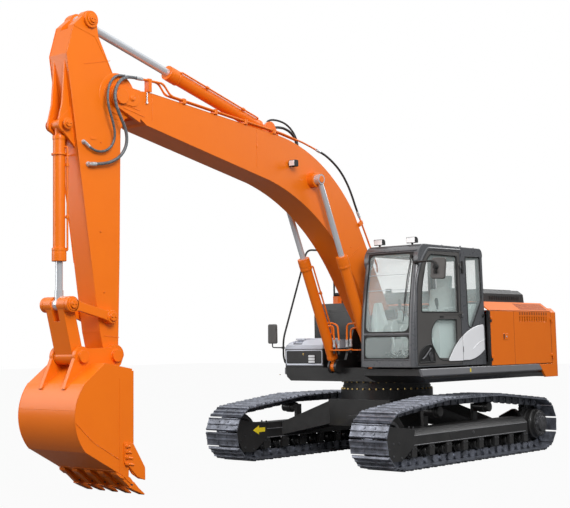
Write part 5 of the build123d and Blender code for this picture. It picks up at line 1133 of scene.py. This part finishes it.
def hoses():
    for name, (diameter, length, look, points) in HOSES.items():
        curve = bpy.data.curves.new(name, "CURVE")
        curve.dimensions = "3D"
        curve.resolution_u = 6
        curve.bevel_depth = diameter / 2
        curve.bevel_resolution = 5
        curve.use_fill_caps = True
        line = curve.splines.new("NURBS")
        line.points.add(len(points) - 1)
        for point, place in zip(line.points, points):
            point.co = (*place, 1.0)
        line.order_u = 3
        line.use_endpoint_u = True
        curve.materials.append(MATERIALS[look])
        hose = bpy.data.objects.new(f"{name}_cord", curve)
        hose.location = ORIGIN
        bpy.context.scene.collection.objects.link(hose)
        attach(hose, "boom")
        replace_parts(hose, name)
        ends = (crimp(f"{name}_fitting_a", "boom", points[0], Vector(points[1]) - Vector(points[0]), diameter / 2),
                crimp(f"{name}_fitting_b", "boom", points[-1], Vector(points[-2]) - Vector(points[-1]),
                      diameter / 2))


def pin_cap(form, bolts, pin, y, side, radius):
    """Boss, washer and cap at a pin's end, with the two bolts that keep it."""
    x, z = pin
    form.lathe(((0.0, radius * 1.50), (0.006, radius * 1.50), (0.010, radius * 1.42), (0.010, radius),
                (0.026, radius * 0.98), (0.030, radius * 0.90), (0.030, 0)), (x, y, z), axis=(0, side, 0), sides=36)
    for dx in (-0.5, 0.5):
        bolts.bolt((x + dx * radius, y + side * 0.030, z), (0, side, 0), 0.009, 0.009)


def boom_details():
    orange = Form()
    bolts = Form()
    welds = Form()
    for side in (-1, 1):
        y = side * BOOM_SIDE
        pin_cap(orange, bolts, ARM_PIN, side * 0.212, side, 0.062)
        welds.sweep([(5.085, y, 4.40), (5.085, y, 4.735)], 0.0035, 6)
        welds.sweep([(3.148, y, 4.02), (3.148, y, 4.548)], 0.0035, 6)
        welds.sweep([(1.134, y, 2.900), (0.823, y, 3.111)], 0.0040, 6)
        for x, z in ((1.10, 3.05), (3.148, 4.30)):
            bolts.bolt((x, y, z), (0, side, 0), 0.008, 0.008)
    # long seams along the top corners
    for side in (-1, 1):
        welds.sweep([(x, side * 0.2085, boom_top(x)) for x in (2.70, 3.5, 4.3, 5.10)], 0.004, 6)
    welds.done("boom_welds", "boom", "orange", smooth=60)
    orange.done("boom_pin_caps", "boom", "orange", smooth=30)
    bolts.done("boom_bolts", "boom", "orange")
    # pipes along the top and down the back, with their clamps
    pipes = Form()
    clamps = Form()
    long_pipe = [(1.8503, 0.214, 4.390), (2.150, 0.214, 4.462), (2.650, 0.214, 4.545), (4.770, 0.214, 4.752),
                 (4.900, 0.214, 4.891), (5.2857, 0.214, 4.891)]
    short_pipe = [(2.300, 0.176, 4.490), (2.650, 0.176, 4.545), (4.830, 0.176, 4.758), (4.950, 0.176, 4.898),
                  (5.4477, 0.176, 4.898)]
    for points in (long_pipe, short_pipe):
        pipes.sweep(rounded(points, 0.07, 6), 0.013, 14)
    for x in (2.800, 3.380, 3.960, 4.540):
        z = boom_top(x)
        clamps.plate(((x - 0.022, z + 0.001), (x + 0.022, z + 0.005), (x + 0.020, z + 0.062), (x - 0.024, z + 0.058)),
                     0.006, "Y", 0.162, 0.2345)
        for y in (0.171, 0.196, 0.225):
            clamps.rod((x, y, z + 0.058), (x - 0.001, y, z + 0.070), 0.008, sides=6)
    for y in PIPE_Y:
        clamps.rod((5.108, y, 4.895), (5.162, y, 4.895), 0.021, sides=20)
    pipes.done("oil_pipes", "boom", "orange", smooth=60)
    clamps.done("pipe_clamps", "boom", "orange", bevel=0.002)
    # lamp on the boom's side
    lamp = Form()
    lamp.plate(((2.425, 4.090), (2.495, 4.090), (2.512, 4.135), (2.500, 4.182), (2.425, 4.182)), 0.012, "Y", 0.225,
               0.335)
    lamp.box((2.44, 0.2105, 4.12), (2.48, 0.228, 4.155))
    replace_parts(lamp.done("boom_lamp_body", "boom", "rubber", bevel=0.006), "boom_lamp")
    lens = Form()
    lens.plate(rect(0.234, 4.100, 0.327, 4.172), 0.012, "X", 2.500, 2.5115)
    lens.done("boom_lamp_lens", "boom", "lens", bevel=0.003)


def cylinder(base, eye, y, radius, rod_radius, length, eye_half, barrel, piston, name, pipe_side=1, wiper=True):
    """Gland ring, rings, oil pipes and bolt heads on a cylinder's barrel; a wiper ring round the rod."""
    base3, eye3 = Vector((base[0], y, base[1])), Vector((eye[0], y, eye[1]))
    ahead = (eye3 - base3).normalized()
    across = Vector((0, 1, 0))
    up = ahead.cross(across)
    form = Form()
    form.lathe(((length - 0.148, radius + 0.010), (length - 0.148, radius + 0.0135), (length - 0.120, radius + 0.0135),
                (length - 0.116, radius + 0.008), (length - 0.100, radius + 0.008), (length - 0.096, radius + 0.0135),
                (length - 0.004, radius + 0.0135), (length + 0.001, radius + 0.008),
                (length + 0.001, rod_radius + 0.004)), base3, axis=ahead, sides=48)
    form.lathe(((0.130, radius * 0.7), (0.130, radius + 0.004), (0.150, radius + 0.006), (0.175, radius + 0.004),
                (0.176, radius - 0.001)), base3, axis=ahead, sides=48)
    # oil pipes: port at the base, pipe to the gland end, brackets
    side = Vector((0, pipe_side, 0)) * 0.86 + up * (0.5 if up.z > 0 else -0.5)
    side = (side - ahead * side.dot(ahead)).normalized()
    off = radius + 0.030
    path = [base3 + ahead * 0.26 + side * (radius - 0.01), base3 + ahead * 0.26 + side * off,
            base3 + ahead * (length - 0.19) + side * off, base3 + ahead * (length - 0.12) + side * off,
            base3 + ahead * (length - 0.12) + side * (radius - 0.01)]
    form.sweep(rounded(path, 0.03, 4), 0.012, 12)
    for share in (0.30, 0.68):
        place = base3 + ahead * (length * share) + side * off
        form.rod(place - ahead * 0.02, place + ahead * 0.02, 0.020, sides=16)
        form.rod(place - side * 0.035, place, 0.010, sides=8)
    form.done(f"{name}_barrel_fittings", barrel, "orange", smooth=40)
    if wiper:
        ring = Form()
        ring.lathe(((length + 0.001, rod_radius + 0.016), (length + 0.007, rod_radius + 0.014),
                    (length + 0.009, rod_radius + 0.004), (length + 0.001, rod_radius + 0.004)), base3, axis=ahead,
                   sides=40)
        ring.done(f"{name}_wiper_ring", barrel, "rubber")
    if not y:
        return
    caps = Form()
    face = math.copysign(1, y)
    caps.lathe(((0.0, (radius - 0.004) * 0.70), (0.004, (radius - 0.004) * 0.70), (0.008, (radius - 0.004) * 0.62),
                (0.008, 0)), (eye3.x, y + face * (eye_half + 0.0003), eye3.z), axis=(0, face, 0), sides=32)
    caps.done(f"{name}_eye_caps", piston, "orange", smooth=30)


def cylinders():
    for y, label in ((0.350, "boom_left"), (-0.350, "boom_right")):
        cylinder(BOOM_CYL_BASE_PIN, BOOM_CYL_ROD_PIN, y, 0.076, 0.041, 1.70, 0.042, "boom_barrels", "boom_rods", label,
                 pipe_side=-1 if y > 0 else 1)
    cylinder(ARM_CYL_BASE_PIN, ARM_CYL_ROD_PIN, 0.0, 0.084, 0.050, 1.90, 0.055, "arm_barrel", "arm_rod", "arm_crowd")
    cylinder(BUCKET_CYL_PIN, TOP_PIN, 0.0, 0.070, 0.042, 1.571, 0.052, "bucket_barrel", "bucket_rod", "curl",
             wiper=False)


def arm_details():
    caps = Form()
    bolts = Form()
    welds = Form()
    for side in (-1, 1):
        for pin, y in ((ARM_CYL_ROD_PIN, 0.196), (BUCKET_CYL_PIN, 0.156)):
            pin_cap(caps, bolts, pin, side * y, side, 0.045)
        welds.sweep([(5.72, side * 0.1555, 5.05), (6.12, side * 0.1555, 4.95)], 0.0035, 6)
        for x, z in ((5.86, 4.05), (5.86, 3.0), (5.80, 2.3)):
            bolts.bolt((x, side * 0.155, z), (0, side, 0), 0.008, 0.008)
    caps.done("arm_pin_caps", "arm", "orange", smooth=30)
    bolts.done("arm_grease_points", "arm", "orange")
    welds.done("arm_welds", "arm", "orange", smooth=60)
    # fittings on the arm's left side under the free hoses
    fit = Form()
    fit.lathe(((0.0, 0.030), (0.016, 0.030), (0.018, 0.024), (0.030, 0.020)), (6.060, 0.1555, 3.772), axis=(0, 1, 0),
              sides=20)
    fit.lathe(((0.0, 0.028), (0.014, 0.028), (0.016, 0.020), (0.024, 0.018)), (6.130, 0.1555, 4.024), axis=(0, 1, 0),
              sides=20)
    fit.done("arm_ports", "arm", "fitting", bevel=0.001)


def linkage_details():
    rocker = Form()
    bolts = Form()
    for side in (-1, 1):
        pin_cap(rocker, bolts, ROCKER_PIN, side * 0.2403, side, 0.050)
        pin_cap(rocker, bolts, TOP_PIN, side * 0.2403, side, 0.048)
    rocker.done("rocker_caps", "rocker", "orange", smooth=30)
    bolts.done("rocker_bolts", "rocker", "orange")
    bucket = Form()
    bolts = Form()
    for side in (-1, 1):
        for pin, radius in ((TIP_PIN, 0.052), (LINK_PIN, 0.050)):
            pin_cap(bucket, bolts, pin, side * 0.2223, side, radius)
    bucket.done("bucket_pin_caps", "bucket", "orange", smooth=30)
    bolts.done("bucket_bolts", "bucket", "orange")


hoses()
boom_details()
cylinders()
arm_details()
linkage_details()


# ---------------------------------------------------------------- bucket and arm plates
def tooth_points():
    points = Form()
    adapters = Form()
    pins = Form()
    for i in range(5):
        y = (i - 2) * 0.2225
        adapters.prism(((5.885, 0.282), (5.735, 0.2005), (5.655, 0.150), (5.650, 0.110), (5.700, 0.108),
                        (5.790, 0.185), (5.868, 0.245)), "Y", y - 0.036, y + 0.036)
        adapters.prism(((5.915, 0.294), (5.800, 0.235), (5.785, 0.205), (5.850, 0.222), (5.905, 0.262)), "Y",
                       y - 0.050, y + 0.050)
        # base, middle and tip: half width, upper (x, z) and lower (x, z)
        points.loft([((upper[0], y - half, upper[1]), (upper[0], y + half, upper[1]),
                      (lower[0], y + half, lower[1]), (lower[0], y - half, lower[1])) for half, upper, lower in (
            (0.049, (5.646, 0.166), (5.704, 0.100)), (0.047, (5.575, 0.094), (5.612, 0.056)),
            (0.046, (5.474, 0.014), (5.486, 0.003)))])
        pins.rod((5.676, y - 0.0505, 0.134), (5.676, y + 0.0505, 0.134), 0.011, sides=16)
    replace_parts(points.done("tooth_points", "bucket", "orange", bevel=0.004), "bucket_teeth")
    adapters.done("tooth_adapters", "bucket", "orange", bevel=0.004)
    pins.done("tooth_pins", "bucket", "worn_steel")


def bucket_plates():
    plates = Form()
    welds = Form()
    bolts = Form()
    for side in (-1, 1):
        y = side * 0.4902
        cutter = ((5.800, 0.610), (5.665, 0.590), (5.482, 0.310), (5.480, 0.165), (5.600, 0.212), (5.720, 0.330),
                  (5.800, 0.380))
        plates.plate(cutter, 0.02, "Y", y, y + side * 0.014)
        for z, length in ((0.563, 0.045), (0.501, 0.065), (0.439, 0.085), (0.370, 0.100)):
            plates.rod((5.760, y + side * 0.016, z), (5.760 - length, y + side * 0.016, z - length * 0.18), 0.016,
                       0.011, sides=12)
            bolts.bolt((5.765, y + side * 0.014, z + 0.002), (0, side, 0), 0.019, 0.020)
        welds.sweep([(5.862, y, 0.303), (5.864, y, 1.322)], 0.0040, 6)
        welds.sweep([(6.500, y, 0.863), (6.244, y, 0.637), (5.862, y, 0.425)], 0.0040, 6)
        # reinforcing plate round the ear pins and the weld down the shell
        welds.sweep([(5.700, side * 0.223, 1.425), (6.076, side * 0.223, 1.497), (6.375, side * 0.223, 1.275),
                     (6.435, side * 0.223, 1.215)], 0.005, 6)
        welds.sweep([(x, side * 0.4885, z) for x, z in arc((6.380, 1.273), (6.510, 0.890), (6.350, 0.535), 16)], 0.005,
                    6)
    welds.sweep([(6.5015, -0.488, 0.995), (6.5015, 0.488, 0.995)], 0.0060, 8)
    welds.sweep([(5.93, -0.488, 0.3075), (5.93, 0.488, 0.3075)], 0.0050, 8)
    plates.done("side_cutters", "bucket", "orange", bevel=0.003, smooth=45)
    welds.done("bucket_welds", "bucket", "orange", smooth=60)
    bolts.done("cutter_bolts", "bucket", "orange", smooth=30)


def arm_plates():
    plates = Form()
    for side in (-1, 1):
        y = side * 0.1552
        ear = ((6.283, 5.388), (6.268, 5.372), (5.963, 5.298), (5.700, 4.925), (5.680, 4.905), (5.907, 5.315),
               (5.937, 5.496), (6.020, 5.593), (6.143, 5.517))
        plates.prism(ear, "Y", y, y + side * 0.003)
        plates.lathe(((0.0, 0.285), (0.0025, 0.283), (0.004, 0.276), (0.004, 0.0)), (5.600, side * 0.1552, 4.632),
                     axis=(0, side, 0), sides=72)
        rib = ((6.372, 4.985), (6.384, 4.70), (6.402, 4.45), (6.450, 4.255), (6.25, 4.17), (6.30, 4.50), (6.34, 4.75))
        plates.prism(rib, "Y", side * 0.080, side * 0.106)
        plates.prism(rect(5.935, 4.068, 6.020, 4.098), "Y", y, y + side * 0.004)
    plates.done("arm_plates", "arm", "orange", bevel=0.0025, smooth=40)
    lines = Form()
    for side in (-1, 1):
        lines.sweep([(6.386, side * 0.154, 5.030), (5.997, side * 0.154, 2.650)], 0.0045, 6)
        lines.sweep([(6.286, side * 0.154, 5.390), (6.386, side * 0.154, 5.036)], 0.0045, 6)
        lines.sweep([(5.79, side * 0.1555, 1.80), (5.57, side * 0.1555, 1.78)], 0.0040, 6)
    lines.done("arm_seams", "arm", "orange", smooth=60)
    clip = Form()
    clip.lathe(((0.0, 0.083), (0.0, 0.088), (0.022, 0.088), (0.022, 0.083)), (6.3565, 0.0, 3.86),
               axis=(0.0107, 0, 1), sides=40)
    clip.box((6.22, -0.03, 3.862), (6.275, 0.03, 3.880))
    clip.done("curl_barrel_clip", "bucket_barrel", "orange", bevel=0.002, smooth=40)


def boom_plates():
    plates = Form()
    bolts = Form()
    for side in (-1, 1):
        y = side * 0.2102
        capsule = []
        for cx, cz, start in ((5.600, 4.640, -90), (5.400, 4.626, 90)):
            for i in range(13):
                t = math.radians(start + 180 * i / 12)
                capsule.append((cx + 0.095 * math.cos(t), cz + 0.095 * math.sin(t)))
        plates.prism(capsule, "Y", y, y + side * 0.010)
        for x0, z0, x1, z1 in ((5.600, 4.545, 5.292, 4.500), (5.560, 4.500, 5.205, 4.429)):
            plates.sweep([(x0, y, z0), (x1, y, z1)], 0.006, 6)
        bolts.lathe(((0.0, 0.040), (0.006, 0.040), (0.010, 0.030), (0.018, 0.028), (0.018, 0)),
                    (5.417, y + side * 0.010, 4.632), axis=(0, side, 0), sides=28)
    plates.done("boom_tip_plates", "boom", "orange", bevel=0.002, smooth=40)
    bolts.done("boom_tip_caps", "boom", "orange", smooth=30)
    tap = Form()
    tap.rod((5.180, 0.222, 4.615), (5.180, 0.222, 4.735), 0.009, sides=12)
    tap.rod((5.180, 0.222, 4.598), (5.180, 0.222, 4.620), 0.016, sides=16)
    tap.done("boom_tap", "boom", "fitting")


def cylinder_lines():
    """Tubes off the boom cylinders' inner sides, down to silver unions held by one clamp plate."""
    tubes = Form()
    unions = Form()
    sleeves = Form()
    routes = (
        ((1.070, 0.284, 1.960), (1.000, 0.240, 1.960), (1.000, 0.030, 1.945), (1.000, 0.022, 1.720)),
        ((1.050, 0.284, 1.900), (1.000, 0.240, 1.895), (1.000, 0.097, 1.880), (1.000, 0.092, 1.730)),
        ((1.070, -0.284, 1.965), (1.000, -0.240, 1.965), (1.000, -0.140, 1.930), (1.000, -0.124, 1.710)),
        ((1.050, -0.284, 1.920), (1.000, -0.225, 1.920), (1.000, -0.212, 1.720)))
    for route in routes:
        tubes.sweep(rounded(route, 0.06, 6), 0.014, 12)
        x, y, z = route[-1]
        unions.lathe(((0.0, 0.014), (0.0, 0.022), (0.030, 0.022), (0.032, 0.018), (0.075, 0.018), (0.078, 0.022),
                      (0.110, 0.022), (0.110, 0.0)), (x, y, z), axis=(0, 0, -1), sides=20)
        sleeves.rod((x, y, z - 0.110), (x, y, z - 0.200), 0.017, sides=16)
    tubes.plate(((-0.235, 1.560), (0.045, 1.560), (0.115, 1.575), (0.115, 1.590), (0.045, 1.578), (-0.235, 1.578)),
                0.004, "X", 0.978, 1.022)
    for side in (-1, 1):
        tubes.prism(rect(side * 0.10, 1.562, side * 0.288, 1.578), "X", 0.935, 1.000)
    tubes.done("cylinder_tubes", "boom_barrels", "orange", smooth=50)
    unions.done("cylinder_unions", "boom_barrels", "fitting", bevel=0.001)
    sleeves.done("cylinder_sleeves", "boom_barrels", "rubber")


def rocker_bars():
    """The two rocker links with their slimmer middle."""
    form = Form()
    base, far = (Vector((x, 0, z)) for x, z in (ROCKER_PIN, TOP_PIN))
    ahead = (far - base).normalized()
    up = Vector((-ahead.z, 0, ahead.x))
    for side in (-1, 1):
        low, high = sorted((side * 0.195, side * 0.240))
        corners = [base + up * 0.066, base + ahead * 0.12 + up * 0.050, far - ahead * 0.13 + up * 0.052,
                   far + up * 0.074, far - up * 0.074, far - ahead * 0.13 - up * 0.050,
                   base + ahead * 0.12 - up * 0.050, base - up * 0.066]
        form.prism([(c.x, c.z) for c in corners], "Y", low, high)
        for pin, radius in ((base, 0.078), (far, 0.088)):
            form.lathe(((0.0, 0.0), (0.0, radius), (0.045, radius), (0.045, 0.0)), (pin.x, side * 0.195, pin.z),
                       axis=(0, side, 0), sides=40)
    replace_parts(form.done("rocker_bars", "rocker", "orange", bevel=0.003, smooth=40), "rocker_links")
    rings = Form()
    for side in (-1, 1):
        for y, (x, z), r in ((0.184, TOP_PIN, 0.0895), (0.158, LINK_PIN, 0.0935)):
            rings.lathe(((0.0, r - 0.004), (0.0, r), (0.008, r), (0.008, r - 0.004)), (x, side * y, z),
                        axis=(0, side, 0), sides=40)
    rings.done("link_rings", "link", "orange", smooth=30)
    dark = Form()
    for side in (-1, 1):
        dark.lathe(((0.0, 0.085), (0.0, 0.094), (0.003, 0.094), (0.003, 0.085)), (6.180, side * 0.1665, 1.570),
                   axis=(0, side, 0), sides=40)
    dark.done("link_seals", "link", "rubber")


tooth_points()
bucket_plates()
arm_plates()
boom_plates()
cylinder_lines()
rocker_bars()


# ---------------------------------------------------------------- camera, floor and light
CAMERA_POINT = (15.174, 10.738, 1.710)
CAMERA_YAW = -139.111
CAMERA_PITCH = 7.405
CAMERA_ROLL = -0.789
CAMERA_FOCAL = 1207.63 / 570.0
CAMERA_SHIFT = (0.03705, -0.12193)


def make_camera():
    yaw, pitch, roll = (math.radians(v) for v in (CAMERA_YAW, CAMERA_PITCH, CAMERA_ROLL))
    ahead = Vector((math.cos(yaw) * math.cos(pitch), math.sin(yaw) * math.cos(pitch), math.sin(pitch)))
    right = ahead.cross(Vector((0, 0, 1))).normalized()
    up = right.cross(ahead)
    tilted = right * math.cos(roll) + up * math.sin(roll)
    up = up * math.cos(roll) - right * math.sin(roll)
    data = bpy.data.cameras.new("camera")
    data.sensor_width = 36.0
    data.lens = CAMERA_FOCAL * data.sensor_width
    data.shift_x, data.shift_y = CAMERA_SHIFT
    data.clip_end = 200.0
    camera = bpy.data.objects.new("camera", data)
    turn = Matrix((tilted, up, -ahead)).transposed().to_4x4()
    camera.matrix_world = Matrix.Translation(at(*CAMERA_POINT)) @ turn
    bpy.context.scene.collection.objects.link(camera)
    bpy.context.scene.camera = camera


def seen_ray(nodes, links):
    """1 for rays that show the backdrop itself: straight ones, and those through glass."""
    path = nodes.new("ShaderNodeLightPath")
    joined = nodes.new("ShaderNodeMath")
    joined.operation = "MAXIMUM"
    links.new(path.outputs["Is Camera Ray"], joined.inputs[0])
    links.new(path.outputs["Is Transmission Ray"], joined.inputs[1])
    return joined.outputs[0], path.outputs["Is Glossy Ray"]


def sky_light(nodes, links, height, stops):
    """Light from the surroundings by height: stops are (height from -1 to 1, strength)."""
    strength = ramp(nodes, links, height, [((place + 1) / 2, (value / 2,) * 3) for place, value in stops])
    light = nodes.new("ShaderNodeBackground")
    double = nodes.new("ShaderNodeMath")
    double.operation = "MULTIPLY"
    double.inputs[1].default_value = 2.0
    links.new(strength, double.inputs[0])
    links.new(double.outputs[0], light.inputs["Strength"])
    light.inputs["Color"].default_value = (0.97, 0.985, 1.0, 1.0)
    return light


def make_world():
    """A white backdrop for the camera; the light itself comes mostly from above."""
    world = bpy.data.worlds.new("studio")
    bpy.context.scene.world = world
    world.use_nodes = True
    nodes = world.node_tree.nodes
    links = world.node_tree.links
    nodes.clear()
    out = nodes.new("ShaderNodeOutputWorld")
    place = nodes.new("ShaderNodeTexCoord")
    parts = nodes.new("ShaderNodeSeparateXYZ")
    links.new(place.outputs["Generated"], parts.inputs[0])
    height = nodes.new("ShaderNodeMapRange")
    for name, value in (("From Min", -1.0), ("From Max", 1.0), ("To Min", 0.0), ("To Max", 1.0)):
        height.inputs[name].default_value = value
    links.new(parts.outputs[2], height.inputs["Value"])
    soft = sky_light(nodes, links, height.outputs[0], ((-0.6, 0.10), (0.0, 0.30), (0.35, 0.50), (0.85, 1.25)))
    shine = sky_light(nodes, links, height.outputs[0], ((-0.4, 0.03), (0.10, 0.10), (0.45, 0.55), (0.85, 1.40)))
    white = nodes.new("ShaderNodeBackground")
    seen, glossy = seen_ray(nodes, links)
    light = nodes.new("ShaderNodeMixShader")
    links.new(glossy, light.inputs[0])
    links.new(soft.outputs[0], light.inputs[1])
    links.new(shine.outputs[0], light.inputs[2])
    mix = nodes.new("ShaderNodeMixShader")
    links.new(seen, mix.inputs[0])
    links.new(light.outputs[0], mix.inputs[1])
    links.new(white.outputs[0], mix.inputs[2])
    links.new(mix.outputs[0], out.inputs["Surface"])
    white.inputs["Color"].default_value = (1.0, 1.0, 1.0, 1.0)
    white.inputs["Strength"].default_value = 1.0


def make_floor():
    """Plain white floor: nearly all of what shows is its own light, so it meets the backdrop unseen,
    and the rest takes soft shadows."""
    mesh = bpy.data.meshes.new("floor")
    reach = 60.0
    corners = [(-reach, -reach, 0), (reach, -reach, 0), (reach, reach, 0), (-reach, reach, 0)]
    mesh.from_pydata(corners, [], [(0, 1, 2, 3)])
    floor = bpy.data.objects.new("floor", mesh)
    floor.location = (0, 0, -0.002)
    bpy.context.scene.collection.objects.link(floor)
    material = shaded("floor_pale", (0.13, 0.13, 0.13), (0.125, 0.125, 0.125), 0.8, specular=0.0)
    nodes = material.node_tree.nodes
    links = material.node_tree.links
    shine = nodes.new("ShaderNodeEmission")
    shine.inputs["Strength"].default_value = 1.0
    mix = nodes.new("ShaderNodeMixShader")
    share = nodes.new("ShaderNodeMath")
    share.operation = "MULTIPLY"
    share.inputs[1].default_value = 0.955
    links.new(seen_ray(nodes, links)[0], share.inputs[0])
    links.new(share.outputs[0], mix.inputs[0])
    links.new(nodes["Principled BSDF"].outputs[0], mix.inputs[1])
    links.new(shine.outputs[0], mix.inputs[2])
    links.new(mix.outputs[0], nodes["Material Output"].inputs["Surface"])
    mesh.materials.append(material)


def make_lights():
    for name, place, size, power in (
        ("key", (11.0, 12.0, 10.0), 6.0, 1950.0),
        ("fill", (13.0, -8.0, 6.0), 8.0, 620.0),
        ("rim", (-11.0, 5.0, 9.0), 6.0, 600.0),
    ):
        data = bpy.data.lights.new(name, "AREA")
        data.size = size
        data.energy = power
        lamp = bpy.data.objects.new(name, data)
        target = at(1.5, 0.0, 2.2)
        lamp.location = at(*place)
        lamp.rotation_euler = (target - lamp.location).to_track_quat("-Z", "Y").to_euler()
        bpy.context.scene.collection.objects.link(lamp)


make_camera()
make_world()
make_floor()
make_lights()
bpy.context.scene.view_settings.view_transform = "Standard"
